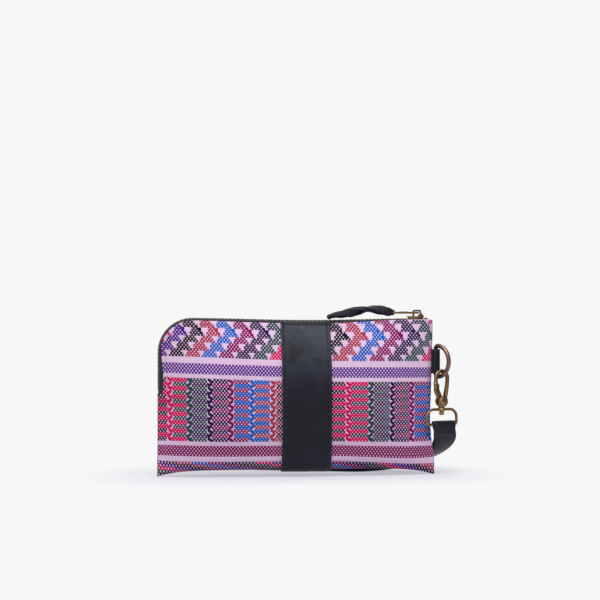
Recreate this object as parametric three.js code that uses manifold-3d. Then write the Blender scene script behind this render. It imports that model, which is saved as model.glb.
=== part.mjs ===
// Woven wristlet: a zipped fabric pouch with a leather band, a D-ring in the side seam
// and a swivel snap hook that carries a leather wrist strap.
// Millimetres. +X is to the right seen from the front, +Y to the back and +Z up.
// The origin lies under the pouch, in the middle of its flat base.
import * as THREE from "three";
import { mergeVertices } from "three/addons/utils/BufferGeometryUtils.js";
import Module from "manifold-3d";

const wasm = await Module();
wasm.setup();

// Pouch
const pouchWidth = 207;
const pouchHeight = 118; // to the top of the zip teeth, at the right-hand end
const topRise = 0.003; // rise of the top edge towards the left, per millimetre
const pouchDepth = 38.5;
const cornerRadius = 26;
const sidePinch = 1.6; // above 1, the side seams are pinched more sharply than the top
const seamThickness = 3.2; // the pouch is pinched to this at its side seams
const zipRimWidth = 14.2; // outer thickness of the pouch along the zip
const baseFullness = 0.62; // share of the full depth that is left at the base
const baseFillet = 4;
const fabricThickness = 1.2;
const liningThickness = 0.8;
const sideRoll = 54; // how far in from a side seam the pouch reaches its full depth
const topRoll = 58; // the same, down from the top edge
const bellyHeight = 50; // height at which the lower half reaches its full depth
const leastHalf = 0.35; // half the hollow that is left inside the pinched seams

// Zip
const zipDrop = 32.6; // length of zip below the rounded corner, down the left side
const zipEndMargin = 3.5; // closed fabric left at the right-hand end of the zip
const zipProud = 3.1; // how far the teeth stand above the fabric's edge
const toothPitch = 3;
const toothLength = 1.2; // along the chain
const toothHeight = 2.3;
const toothReach = 0.9; // past the centre line, between the teeth of the other row
const cordInner = 2;
const cordOuter = 3;
const cordHeight = 1.1;
const tapeThickness = 0.6;
const tapeTuck = 5.6; // width of tape hidden under the fabric's edge
const tapeFlat = 5.3; // half width over which the tape lies level beside the teeth
const stopLength = 1.8;

// Zip slider and its pull
const sliderLength = 12.4;
const sliderWidth = 9;
const plateThickness = 1;
const bridgeHeight = 4.8;
const bridgeWidth = 2.2;
const bridgeWire = 1.2;
const bridgeLength = 6.4;
const tabLength = 20;
const tabWidth = 5.8;
const tabThickness = 1.5;
const tabBar = 1.3; // bar of the tab that lies under the bridge
const tabWindowLength = 4.8;
const tabHole = 3; // length of the hole for the thong
const thongLength = 50;
const thongWidth = 5.6;
const thongThickness = 3.2; // two plies, twisted together
const thongTurns = 1.25;

// Leather band
const bandWidth = 37;
const bandOffset = 6; // centre of the band, to the right of the pouch's centre
const leatherThickness = 1.5;
const hemDepth = 7;
const hemExtra = 0.7; // the turned edge is this much thicker

// D-ring and its leather tab in the right-hand seam
const ringHeight = 20; // inside, along its straight bar
const ringDepth = 10.2; // inside, from the bar to the bow
const ringWire = 3.3;
const ringCorner = 2.4; // where the bar turns into the bow
const ringCentreZ = 85.2;
const ringTurn = -54; // degrees about the bar; the bow points towards the front
const ringTabHeight = 18.4;
const ringTabLeather = 1.4;
const ringStandOff = 2.7; // from the seam to the centre of the bar

// Swivel snap hook
const hangDistance = 6.2; // from the ring's bar to the place where the hook hangs
const hookTurn = 25; // degrees in plan, of the plane that the hook lies in
const hookWidth = 13.5;
const hookWire = 3;
const hookLength = 22.9; // from the middle of the bail's wire down to the knuckle's centre
const knuckleRadius = 4.1;
const knuckleThickness = 5.6;
const gateThickness = 2.4;
const gateRootRadius = 2.7;
const gateTipWidth = 2.4;
const rivetRadius = 1.1;
const rivetHeadRadius = 2.8;
const rivetHeadHeight = 0.9;
const noseLength = 4.9; // from the bail's centre down to the nose's end
const shankRadius = 1.1;
const collarRadius = 3;
const collarHeight = 3.2;
const peenRadius = 1.95;
const peenHeight = 2.4;
const springWire = 0.36;
const springTurns = 2;

// Swivel eye
const eyeWidth = 24.3; // inside
const eyeDrop = 11.4; // from the top wire's centre to the bar's centre
const eyeWire = 2.1;
const eyeTopRadius = 6;
const eyeBarRadius = 1.7;
const eyeTurn = 22; // degrees about the swivel axis

// Wrist strap
const strapWidth = 18.6;
const strapPly = 1.6;
const strapFlap = 8.5; // turned end in front of the bar
const strapShift = 1.8; // along the bar, away from the pouch
const strapLandingX = 50; // where the doubled neck has come down to the ground
const strapLandingY = 30;
const strapRun = 84; // length of the open loop behind the pouch
const strapArch = 15; // height of the open loop
const strapHeading = 163; // degrees in plan, of the part that lies down
const noseRadiusShare = 0.5; // radius of the loop's far end, as a share of its height

// Clearances
const gap = 0.3;
const plyGap = 0.4;
const hangGap = 0.45; // between the ring and the bail of the hook that hangs on it
const liningGap = 0.95; // between the lining and the shell, along Y
const bandGap = 0.5; // between the band and the fabric, along Y
const tapeGap = 0.85; // between the tucked tape and the shell, along Y

// Derived sizes
const halfWidth = pouchWidth / 2;
const seamHalf = seamThickness / 2;
const rimHalf = zipRimWidth / 2;
const bulge = Math.sqrt((pouchDepth / 2) ** 2 - seamHalf ** 2);
const zipEndZ = pouchHeight - cornerRadius - zipDrop;
const chainInset = toothHeight / 2;
const chainLevel = pouchHeight - chainInset;
const bandStep = leatherThickness + gap + 0.1;
const ringBarX = halfWidth + ringStandOff;

const vec = (x, y, z) => new THREE.Vector3(x, y, z);
const radians = THREE.MathUtils.degToRad;
const ramp = (t) => THREE.MathUtils.smoothstep(t, 0, 1);
const steps = (count) => Array.from({ length: count + 1 }, (_, i) => i / count);

const wovenCloth = { color: 0xb06a94, roughness: 0.9, metalness: 0 };
const cottonLining = { color: 0x8a7f86, roughness: 0.9, metalness: 0 };
const leather = { color: 0x2b2d38, roughness: 0.55, metalness: 0 };
const zipCloth = { color: 0x17161b, roughness: 0.85, metalness: 0 };
const agedBrass = { color: 0x7a6240, roughness: 0.4, metalness: 1 };
const springSteel = { color: 0x8b8b8f, roughness: 0.35, metalness: 1 };

function mesh(name, geometry, finish) {
  const part = new THREE.Mesh(geometry, new THREE.MeshStandardMaterial(finish));
  part.name = name;
  return part;
}

// Turns rings of points, all of one size, into a closed surface. A closed sweep joins its
// last ring to its first, and an open one gets a flat cap at each end.
function skin(rings, { closed = false, capPairs = false } = {}) {
  const size = rings[0].length;
  const positions = rings.flat().flatMap((p) => [p.x, p.y, p.z]);
  const index = [];
  const at = (ring, point) => (ring % rings.length) * size + (point % size);
  const spans = closed ? rings.length : rings.length - 1;
  for (let r = 0; r < spans; r++) {
    for (let p = 0; p < size; p++) {
      index.push(at(r, p), at(r, p + 1), at(r + 1, p + 1));
      index.push(at(r, p), at(r + 1, p + 1), at(r + 1, p));
    }
  }
  if (!closed) {
    const last = rings.length - 1;
    const cap = capPairs ? pairedCap(size) : fanCap(size);
    for (const [a, b, c] of cap) {
      index.push(at(0, a), at(0, c), at(0, b));
      index.push(at(last, a), at(last, b), at(last, c));
    }
  }
  const geometry = new THREE.BufferGeometry();
  geometry.setAttribute("position", new THREE.Float32BufferAttribute(positions, 3));
  geometry.setIndex(index);
  return facingOut(geometry);
}

function fanCap(size) {
  return Array.from({ length: size - 2 }, (_, i) => [0, i + 1, i + 2]);
}

// Cap of a long section whose two sides have matching points: point i faces point size-1-i.
function pairedCap(size) {
  const faces = [];
  for (let i = 0; i < size / 2 - 1; i++) {
    faces.push([i, i + 1, size - 2 - i], [i, size - 2 - i, size - 1 - i]);
  }
  return faces;
}

function signedVolume(geometry) {
  const p = geometry.attributes.position;
  const index = geometry.index.array;
  const [a, b, c] = [vec(0, 0, 0), vec(0, 0, 0), vec(0, 0, 0)];
  let total = 0;
  for (let i = 0; i < index.length; i += 3) {
    a.fromBufferAttribute(p, index[i]);
    b.fromBufferAttribute(p, index[i + 1]);
    c.fromBufferAttribute(p, index[i + 2]);
    total += a.dot(b.cross(c));
  }
  return total / 6;
}

function facingOut(geometry) {
  if (signedVolume(geometry) < 0) {
    const index = geometry.index.array;
    for (let i = 0; i < index.length; i += 3) {
      [index[i + 1], index[i + 2]] = [index[i + 2], index[i + 1]];
    }
  }
  return geometry;
}

// Solids that are joined or cut
function solid(geometry) {
  const bare = geometry.clone();
  for (const name of Object.keys(bare.attributes)) {
    if (name !== "position") bare.deleteAttribute(name);
  }
  const merged = mergeVertices(bare, 1e-4);
  return new wasm.Manifold(
    new wasm.Mesh({
      numProp: 3,
      vertProperties: new Float32Array(merged.attributes.position.array),
      triVerts: new Uint32Array(merged.index.array),
    }),
  );
}

function surface(manifold) {
  const result = manifold.getMesh();
  const geometry = new THREE.BufferGeometry();
  geometry.setAttribute("position", new THREE.BufferAttribute(result.vertProperties, 3));
  geometry.setIndex(new THREE.BufferAttribute(result.triVerts, 1));
  return geometry;
}

function join(...geometries) {
  return geometries.map(solid).reduce((whole, piece) => whole.add(piece));
}

function box(width, depth, height, x = 0, y = 0, z = 0) {
  return new THREE.BoxGeometry(width, depth, height).translate(x, y, z);
}

function rod(radius, length, sides = 20) {
  return new THREE.CylinderGeometry(radius, radius, length, sides);
}

// Pouch form: half the thickness of the stuffed pouch at a point of its front view.
function roll(t) {
  const rest = 1 - THREE.MathUtils.clamp(t, 0, 1);
  return Math.pow(1 - rest * rest, 0.62);
}

function outlineTop(x) {
  const fromCorner = -halfWidth + cornerRadius - x;
  if (fromCorner <= 0) return pouchHeight;
  const drop = cornerRadius - Math.sqrt(Math.max(cornerRadius ** 2 - fromCorner ** 2, 0));
  return pouchHeight - drop;
}

function halfThickness(x, z) {
  const side = Math.pow(roll((halfWidth - Math.abs(x)) / sideRoll), sidePinch);
  const fromTop = roll((outlineTop(x) - z) / topRoll);
  const fromBase = Math.sin((Math.PI / 2) * Math.min(z / bellyHeight, 1));
  const body = bulge * side * fromTop * (baseFullness + (1 - baseFullness) * fromBase);
  const atLeftSeam = ramp((z - zipEndZ + 10) / 12);
  const inBody = ramp((z / pouchHeight) * 1.1);
  const upTheSide = atLeftSeam + (inBody - atLeftSeam) * ramp((x + halfWidth) / 45);
  const alongZip = ramp((halfWidth - x) / (zipEndMargin + 2)) * upTheSide;
  const rim = seamHalf + (rimHalf - seamHalf) * alongZip;
  const full = Math.hypot(body, rim);
  if (z >= baseFillet) return full;
  const radius = Math.min(baseFillet, full - seamHalf * 0.5);
  const low = Math.max(radius - z, 0);
  return full - (radius - Math.sqrt(Math.max(radius * radius - low * low, 0)));
}

// The base is stepped up where the leather band passes under it.
function baseLevel(x) {
  const past = Math.abs(x - bandOffset) - bandWidth / 2 - gap;
  return bandStep * (1 - ramp(past / 7));
}

// The top edge climbs a little towards the left, and the base stays level.
function climb(geometry) {
  const p = geometry.attributes.position;
  for (let i = 0; i < p.count; i++) {
    const rise = (topRise * (halfWidth - p.getX(i))) / pouchHeight;
    p.setZ(i, p.getZ(i) * (1 + rise));
  }
  return geometry;
}

// Places across the pouch, closer together at the seams, the corner and the band's edges.
function pouchStations(inset) {
  const left = -halfWidth + inset;
  const right = halfWidth - inset;
  const corner = steps(6).map((t) => left + (cornerRadius - inset) * (1 - Math.cos((t * Math.PI) / 2)));
  const bandEdges = [-1, 1].flatMap((side) =>
    [0, 3, 7].map((d) => bandOffset + side * (bandWidth / 2 + gap + d)),
  );
  const middle = [-0.61, -0.44, 0.02, 0.46, 0.61, 0.74].map((share) => share * halfWidth);
  const rightEnd = [16, 9, 5.5, 2.5, 0].map((d) => right - d);
  return [...corner, ...middle, ...bandEdges, ...rightEnd].sort((a, b) => a - b);
}

// A solid of the pouch's form, drawn in from the outer skin.
function pouchForm({ inset, depthInset, floor }) {
  const levels = [0, 0.01, 0.036, 0.09, 0.17, 0.28, 0.42, 0.5, 0.57, 0.66, 0.75, 0.84, 0.92, 1];
  const rings = pouchStations(inset).map((x) => {
    const low = baseLevel(x);
    const inCorner = Math.max(-halfWidth + cornerRadius - x, 0);
    const radius = cornerRadius - inset;
    const drop = radius - Math.sqrt(Math.max(radius * radius - inCorner * inCorner, 0));
    const top = pouchHeight - inset - drop;
    const half = levels.map((level) => {
      const z = low + floor + level * (top - low - floor);
      const outer = halfThickness(x, z - (low + floor) * (1 - level));
      return [Math.max(outer - depthInset, leastHalf), z];
    });
    const front = half.map(([y, z]) => vec(x, -y, z)).reverse();
    const back = half.map(([y, z]) => vec(x, y, z));
    return [...front, ...back];
  });
  return skin(rings, { capPairs: true });
}

// Everything outside a line that runs along the zip, at one distance in from the outline.
function zipCut(inset, rightEnd, lowerEnd) {
  const beyond = 40;
  const left = -halfWidth + inset;
  const shape = new THREE.Shape();
  shape.moveTo(rightEnd, pouchHeight - inset);
  shape.lineTo(-halfWidth + cornerRadius, pouchHeight - inset);
  const centre = [-halfWidth + cornerRadius, pouchHeight - cornerRadius];
  shape.absarc(centre[0], centre[1], cornerRadius - inset, Math.PI / 2, Math.PI, false);
  shape.lineTo(left, lowerEnd);
  shape.lineTo(left - beyond, lowerEnd);
  shape.lineTo(left - beyond, pouchHeight + beyond);
  shape.lineTo(rightEnd, pouchHeight + beyond);
  const depth = pouchDepth * 2;
  const cut = new THREE.ExtrudeGeometry(shape, { depth, bevelEnabled: false, curveSegments: 10 });
  return cut.rotateX(Math.PI / 2).translate(0, depth / 2, 0);
}

function outerFabric() {
  const outside = solid(pouchForm({ inset: 0, depthInset: 0, floor: 0 }));
  const inside = solid(
    pouchForm({ inset: seamHalf, depthInset: fabricThickness, floor: fabricThickness }),
  );
  const zipOpening = solid(zipCut(zipProud, halfWidth - zipEndMargin, zipEndZ));
  return climb(surface(outside.subtract(inside).subtract(zipOpening)));
}

const liningInset = seamHalf + 1.2;

function lining() {
  const outset = fabricThickness + liningGap;
  const outside = solid(pouchForm({ inset: liningInset, depthInset: outset, floor: outset }));
  const wall = outset + liningThickness;
  const inside = solid(
    pouchForm({ inset: liningInset + liningThickness, depthInset: wall, floor: wall }),
  );
  const edge = zipProud + tapeTuck + 2 * gap;
  const mouth = solid(zipCut(edge, pouchWidth, zipEndZ - 2 * gap));
  return climb(surface(outside.subtract(inside).subtract(mouth)));
}

// The zip follows the outline of the pouch: along the top from the right-hand end, round the
// corner and down the left side. Returns a place on it and the direction into the pouch.
const topRun = pouchWidth - zipEndMargin - cornerRadius;

function zipPlace(s, inset) {
  const radius = cornerRadius - inset;
  const arc = (radius * Math.PI) / 2;
  if (s <= topRun) {
    return { at: vec(halfWidth - zipEndMargin - s, 0, pouchHeight - inset), inward: vec(0, 0, -1) };
  }
  if (s <= topRun + arc) {
    const turn = (s - topRun) / radius;
    const inward = vec(Math.sin(turn), 0, -Math.cos(turn));
    const centre = vec(-halfWidth + cornerRadius, 0, pouchHeight - cornerRadius);
    return { at: centre.addScaledVector(inward, -radius), inward };
  }
  const down = s - topRun - arc;
  return {
    at: vec(-halfWidth + inset, 0, pouchHeight - cornerRadius - down),
    inward: vec(1, 0, 0),
  };
}

const zipLength = topRun + ((cornerRadius - chainInset) * Math.PI) / 2 + zipDrop;
const sliderRoom = 1.2; // between the closed slider and the top stops
const sliderRestX = halfWidth - zipEndMargin - stopLength - sliderRoom - sliderLength / 2;
const wedgeLength = 2.6;
const wedgeBack = sliderLength / 2 - 0.9 - wedgeLength;
const firstTooth = halfWidth - zipEndMargin - (sliderRestX + wedgeBack - gap - 0.1);
const bottomStopRoom = 4;

// One row of teeth on the corded edge of its tape. The rows mesh with half a pitch between them.
function teethRow(side) {
  const across = (s, inner, outer, height) => {
    const { at, inward } = zipPlace(s, chainInset);
    const corner = (y, n) => at.clone().addScaledVector(inward, n).setY(y * side);
    return [
      corner(inner, -height / 2),
      corner(outer, -height / 2),
      corner(outer, height / 2),
      corner(inner, height / 2),
    ];
  };
  const cord = (s) => across(s, cordInner, cordOuter, cordHeight);
  const tooth = (s) => across(s, -toothReach, cordOuter, toothHeight);
  const edge = 0.02;
  const rings = [cord(gap)];
  const first = firstTooth + (side > 0 ? toothPitch / 2 : 0);
  for (let s = first; s < zipLength - bottomStopRoom; s += toothPitch) {
    rings.push(cord(s), tooth(s + edge), tooth(s + toothLength), cord(s + toothLength + edge));
  }
  rings.push(cord(zipLength - gap));
  return climb(skin(rings));
}

// The tape lies level beside the teeth, turns down to the fabric's edge and is tucked under it.
function zipTape(side) {
  const arcEnd = zipLength - zipDrop;
  const top = steps(15).map((t) => gap + t ** 1.8 * (topRun - 1 - gap));
  const round = steps(8).map((t) => topRun + t * (arcEnd - topRun));
  const down = steps(5).map((t) => arcEnd + (0.06 + 0.94 * t) * (zipDrop - 1.5 * gap));
  const along = [...top, ...round, ...down];
  const rings = along.map((s) => {
    const { at, inward } = zipPlace(Math.min(s, zipLength - gap), chainInset);
    const under = (inset) => {
      const spot = at.clone().addScaledVector(inward, inset - chainInset);
      const drawnIn = 0.8 * ramp((zipEndZ + 10 - spot.z) / 8);
      const hidden = fabricThickness + tapeGap + tapeThickness / 2 + drawnIn;
      const inside = halfThickness(spot.x, spot.z) - hidden;
      return [Math.max(inside, cordOuter + gap), inset - chainInset];
    };
    const line = [
      [cordOuter + gap, 0],
      [Math.min(tapeFlat, under(zipProud)[0]), 0],
      under(zipProud),
      under(zipProud + tapeTuck / 2),
      under(zipProud + tapeTuck),
    ];
    const lower = line.map(([y, n], i) => offsetPoint(line, i, y, n, -tapeThickness / 2));
    const upper = line.map(([y, n], i) => offsetPoint(line, i, y, n, tapeThickness / 2));
    return [...upper, ...lower.reverse()].map(([y, n]) =>
      at.clone().addScaledVector(inward, n).setY(y * side),
    );
  });
  return climb(skin(rings, { capPairs: true }));
}

function offsetPoint(line, i, y, n, distance) {
  const [ay, an] = line[Math.max(i - 1, 0)];
  const [by, bn] = line[Math.min(i + 1, line.length - 1)];
  const length = Math.hypot(by - ay, bn - an);
  return [y - ((bn - an) / length) * distance, n + ((by - ay) / length) * distance];
}

// A stop crimped round the cord at the right-hand end of one tape
function topStop(side) {
  const block = box(stopLength, 1.8, toothHeight);
  const channel = box(stopLength * 2, 1.8, cordHeight + 2 * gap);
  const stop = solid(block).subtract(solid(channel.translate(0, side * 0.6, 0)));
  const y = side * (cordInner - gap + 0.3);
  const x = halfWidth - zipEndMargin - gap - stopLength / 2;
  return climb(surface(stop).translate(x, y, chainLevel));
}

// The stop that bridges both rows at the lower end on the left
function bottomStop() {
  const height = bottomStopRoom - toothPitch / 2 - gap;
  const z = pouchHeight - cornerRadius - zipDrop + height / 2 + gap;
  const stop = box(toothHeight, 2 * (cordInner - gap), height);
  return climb(stop.translate(-halfWidth + chainInset, 0, z));
}

// Zip slider, drawn about the chain's centre line with its travel along X
const plateLevel = toothHeight / 2 + gap;
const plateTop = plateLevel + plateThickness;

function sliderPlate(level) {
  const nose = sliderWidth / 2 - 0.6;
  const half = sliderLength / 2;
  const shape = new THREE.Shape();
  shape.moveTo(-half + 1, -nose);
  shape.lineTo(half - 2, -sliderWidth / 2);
  shape.quadraticCurveTo(half, -sliderWidth / 2, half, -sliderWidth / 2 + 2);
  shape.lineTo(half - 1, 0);
  shape.lineTo(half, sliderWidth / 2 - 2);
  shape.quadraticCurveTo(half, sliderWidth / 2, half - 2, sliderWidth / 2);
  shape.lineTo(-half + 1, nose);
  shape.quadraticCurveTo(-half, nose, -half, nose - 1);
  shape.lineTo(-half, -nose + 1);
  shape.quadraticCurveTo(-half, -nose, -half + 1, -nose);
  const options = { depth: plateThickness, bevelEnabled: false, curveSegments: 4 };
  return new THREE.ExtrudeGeometry(shape, options).translate(0, 0, level);
}

function slider() {
  const lower = sliderPlate(-plateTop);
  const upper = sliderPlate(plateLevel);
  const inner = cordOuter + gap;
  const flangeDrop = plateLevel - tapeThickness / 2 - gap;
  const flange = sliderWidth / 2 - 0.6 - inner;
  const flanges = [-1, 1].flatMap((side) =>
    [-1, 1].map((face) =>
      box(
        sliderLength - 2,
        flange,
        flangeDrop + plateThickness / 2,
        0,
        side * (inner + flange / 2),
        face * (plateLevel + plateThickness / 2 - (flangeDrop + plateThickness / 2) / 2),
      ),
    ),
  );
  const wedge = new THREE.Shape();
  const tip = sliderLength / 2 - 0.9;
  wedge.moveTo(tip, -1.5);
  wedge.lineTo(tip, 1.5);
  wedge.lineTo(tip - wedgeLength * 0.5, 1.3);
  wedge.lineTo(tip - wedgeLength, 0);
  wedge.lineTo(tip - wedgeLength * 0.5, -1.3);
  const post = new THREE.ExtrudeGeometry(wedge, { depth: 2 * plateLevel + 1, bevelEnabled: false });
  const body = join(lower, upper, ...flanges, post.translate(0, 0, -plateLevel - 0.5), bridge());
  return surface(body);
}

const bridgeCentre = 0.9;

function bridge() {
  const half = bridgeLength / 2;
  const shape = new THREE.Shape();
  shape.moveTo(-half, -0.4);
  shape.lineTo(-half, bridgeHeight - 1.6);
  shape.quadraticCurveTo(-half, bridgeHeight, -half + 1.6, bridgeHeight);
  shape.lineTo(half - 1.6, bridgeHeight);
  shape.quadraticCurveTo(half, bridgeHeight, half, bridgeHeight - 1.6);
  shape.lineTo(half, -0.4);
  shape.lineTo(half - bridgeWire, -0.4);
  shape.lineTo(half - bridgeWire, bridgeHeight - bridgeWire - 0.4);
  shape.lineTo(half - bridgeWire - 0.4, bridgeHeight - bridgeWire);
  shape.lineTo(-half + bridgeWire + 0.4, bridgeHeight - bridgeWire);
  shape.lineTo(-half + bridgeWire, bridgeHeight - bridgeWire - 0.4);
  shape.lineTo(-half + bridgeWire, -0.4);
  const options = { depth: bridgeWidth, bevelEnabled: false, curveSegments: 4 };
  const arch = new THREE.ExtrudeGeometry(shape, options).rotateX(Math.PI / 2);
  return arch.translate(bridgeCentre, bridgeWidth / 2, plateTop);
}

// The pull tab turns about the bar that lies under the bridge. It is drawn about that bar.
const pivotX = bridgeCentre + 0.5;
const pivotLevel = plateTop + bridgeHeight - bridgeWire - gap - tabThickness / 2;

function roundedRectangle(path, x0, y0, x1, y1, r) {
  path.moveTo(x0 + r, y0);
  path.lineTo(x1 - r, y0);
  path.quadraticCurveTo(x1, y0, x1, y0 + r);
  path.lineTo(x1, y1 - r);
  path.quadraticCurveTo(x1, y1, x1 - r, y1);
  path.lineTo(x0 + r, y1);
  path.quadraticCurveTo(x0, y1, x0, y1 - r);
  path.lineTo(x0, y0 + r);
  path.quadraticCurveTo(x0, y0, x0 + r, y0);
  return path;
}

function pullTab() {
  const half = tabWidth / 2;
  const root = tabBar / 2;
  const end = root - tabLength;
  const plate = roundedRectangle(new THREE.Shape(), end, -half, root, half, 1.4);
  const windowEdge = bridgeWidth / 2 + 0.5;
  const near = -tabBar / 2;
  const bridgeWindow = [near - tabWindowLength, -windowEdge, near, windowEdge, 0.5];
  plate.holes.push(roundedRectangle(new THREE.Path(), ...bridgeWindow));
  const holeEnd = end + 1.5;
  const thongHole = [holeEnd, -half + 1.1, holeEnd + tabHole, half - 1.1, 0.8];
  plate.holes.push(roundedRectangle(new THREE.Path(), ...thongHole));
  const options = { depth: tabThickness, bevelEnabled: false, curveSegments: 4 };
  return new THREE.ExtrudeGeometry(plate, options).translate(0, 0, -tabThickness / 2);
}

// Leather thong looped through the tab's end: two plies twisted together, arching to the left.
const thongStart = tabBar / 2 - tabLength - 2 * gap;

function thong() {
  // Each place is given as shares of the thong's length: along it, to the front and up.
  const place = (along, front, up) =>
    vec(thongStart - along * thongLength, -front * thongLength, up * thongLength);
  const route = new THREE.CatmullRomCurve3([
    place(0, 0, 0.006),
    place(0.12, 0.004, 0.028),
    place(0.28, 0.008, 0.056),
    place(0.44, 0.016, 0.052),
    place(0.6, 0.032, 0.024),
    place(0.76, 0.068, 0),
    place(0.9, 0.128, -0.02),
    place(0.98, 0.168, -0.044),
  ]);
  const rings = steps(30).map((t) => {
    const at = route.getPointAt(t);
    const ahead = route.getTangentAt(t);
    const side = vec(0, 1, 0).addScaledVector(ahead, -ahead.y).normalize();
    const up = ahead.clone().cross(side);
    const taper = 1 - 0.55 * ramp((t - 0.55) / 0.45) - 0.25 * ramp((0.06 - t) / 0.06);
    const turn = thongTurns * Math.PI * ramp(t / 0.9) + Math.PI / 2;
    return Array.from({ length: 8 }, (_, i) => {
      const angle = (i / 8) * 2 * Math.PI;
      const wide = Math.sign(Math.cos(angle)) * Math.abs(Math.cos(angle)) ** 0.6;
      const thick = Math.sign(Math.sin(angle)) * Math.abs(Math.sin(angle)) ** 0.6;
      const a = (wide * thongWidth * taper) / 2;
      const b = (thick * thongThickness * taper) / 2;
      const y = a * Math.cos(turn) - b * Math.sin(turn);
      const z = a * Math.sin(turn) + b * Math.cos(turn);
      return at.clone().addScaledVector(side, y).addScaledVector(up, z);
    });
  });
  return skin(rings);
}

// Leather band round the front, the base and the back, with its two ends turned under.
function leatherBand() {
  const topEdge = pouchHeight - zipProud - 2 * gap;
  const low = [0, 0.012, 0.03, 0.05, 0.09, 0.16, 0.26, 0.38];
  const high = [0.5, 0.62, 0.74, 0.84, 0.9, 0.94, 0.97, 1];
  const levels = [...low, ...high];
  const across = steps(6).map((t) => bandOffset + (t - 0.5) * bandWidth);
  const rings = across.map((x) => {
    const side = (thickness, floor) =>
      levels.map((level) => {
        const z = floor + level * (topEdge - floor);
        const turned = ramp((z - (topEdge - hemDepth)) / 1.2) * (thickness > 0 ? hemExtra : 0);
        const half = halfThickness(x, z - floor * (1 - level)) + bandGap + thickness + turned;
        return [half, z];
      });
    const outer = side(leatherThickness, 0);
    const inner = side(0, leatherThickness);
    const front = (line) => line.map(([y, z]) => vec(x, -y, z)).reverse();
    const back = (line) => line.map(([y, z]) => vec(x, y, z));
    return [...front(outer), ...back(outer), ...[...front(inner), ...back(inner)].reverse()];
  });
  return climb(skin(rings, { capPairs: true }));
}

// Sweeps a section along a line that lies in the XZ plane.
function planarSweep(line, closed, section) {
  const count = line.length;
  const rings = line.map((p, i) => {
    const before = line[closed ? (i + count - 1) % count : Math.max(i - 1, 0)];
    const after = line[closed ? (i + 1) % count : Math.min(i + 1, count - 1)];
    const ahead = vec(after.x - before.x, 0, after.y - before.y).normalize();
    const side = vec(-ahead.z, 0, ahead.x);
    const { wide, deep, sides } = section(i / (count - 1));
    return Array.from({ length: sides }, (_, k) => {
      const angle = ((k + 0.5) / sides) * 2 * Math.PI;
      const spot = vec(p.x, Math.sin(angle) * deep, p.y);
      return spot.addScaledVector(side, Math.cos(angle) * wide);
    });
  });
  return skin(rings, { closed });
}

const wireSection = (radius, sides = 8) => () => ({ wide: radius, deep: radius, sides });

// D-ring, drawn with its straight bar on the Z axis and its bow towards +X
function dRing() {
  const r = ringWire / 2;
  const half = ringHeight / 2 + r;
  const width = ringDepth + 2 * r;
  const corner = ringCorner;
  const bow = Math.min(half, width - corner);
  const path = new THREE.Path();
  path.moveTo(0, half - corner);
  path.lineTo(0, -half + corner);
  path.absarc(corner, -half + corner, corner, Math.PI, 1.5 * Math.PI, false);
  path.lineTo(width - bow, -half);
  path.absellipse(width - bow, 0, bow, half, -Math.PI / 2, Math.PI / 2, false, 0);
  path.lineTo(corner, half);
  path.absarc(corner, half - corner, corner, Math.PI / 2, Math.PI, false);
  return planarSweep(trimmed(path.getPoints(9)), true, wireSection(r));
}

// Drops points that fall on the one before, and a last point that repeats the first.
function trimmed(points) {
  const kept = points.filter((p, i) => i === 0 || p.distanceTo(points[i - 1]) > 0.05);
  if (kept[0].distanceTo(kept[kept.length - 1]) < 0.05) kept.pop();
  return kept;
}

// Leather loop in the seam, with the D-ring's bar through it
function ringTab() {
  const bore = ringWire / 2 + gap;
  const outer = bore + ringTabLeather;
  const seamSide = -ringStandOff + gap;
  const profile = new THREE.Shape();
  const flank = radians(115);
  profile.moveTo(seamSide, -seamHalf - 0.7);
  profile.lineTo(outer * Math.cos(flank), -outer * Math.sin(flank));
  profile.absarc(0, 0, outer, -flank, flank, false);
  profile.lineTo(seamSide, seamHalf + 0.7);
  const hole = new THREE.Path();
  hole.absarc(0, 0, bore, 0, 2 * Math.PI, true);
  profile.holes.push(hole);
  const options = { depth: ringTabHeight, bevelEnabled: false, curveSegments: 14 };
  return new THREE.ExtrudeGeometry(profile, options).translate(0, 0, -ringTabHeight / 2);
}

// Snap hook, drawn with the swivel axis on Z, the spine towards +X and z = 0 at the knuckle
const bailRadius = hookWidth / 2 - hookWire / 2;
const bailCentre = hookLength - bailRadius;
const knuckleHalf = knuckleThickness / 2;
const slotHalf = gateThickness / 2 + gap;
const spineWall = 1.7; // left beyond the slot
const pivot = vec(-0.8, 0, 0.4);
const collarTop = -knuckleRadius - gap;
const collarBottom = collarTop - collarHeight;
const noseEnd = bailCentre - noseLength;
const gateReach = noseEnd - gap - pivot.z; // from the rivet to the gate's tip

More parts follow.
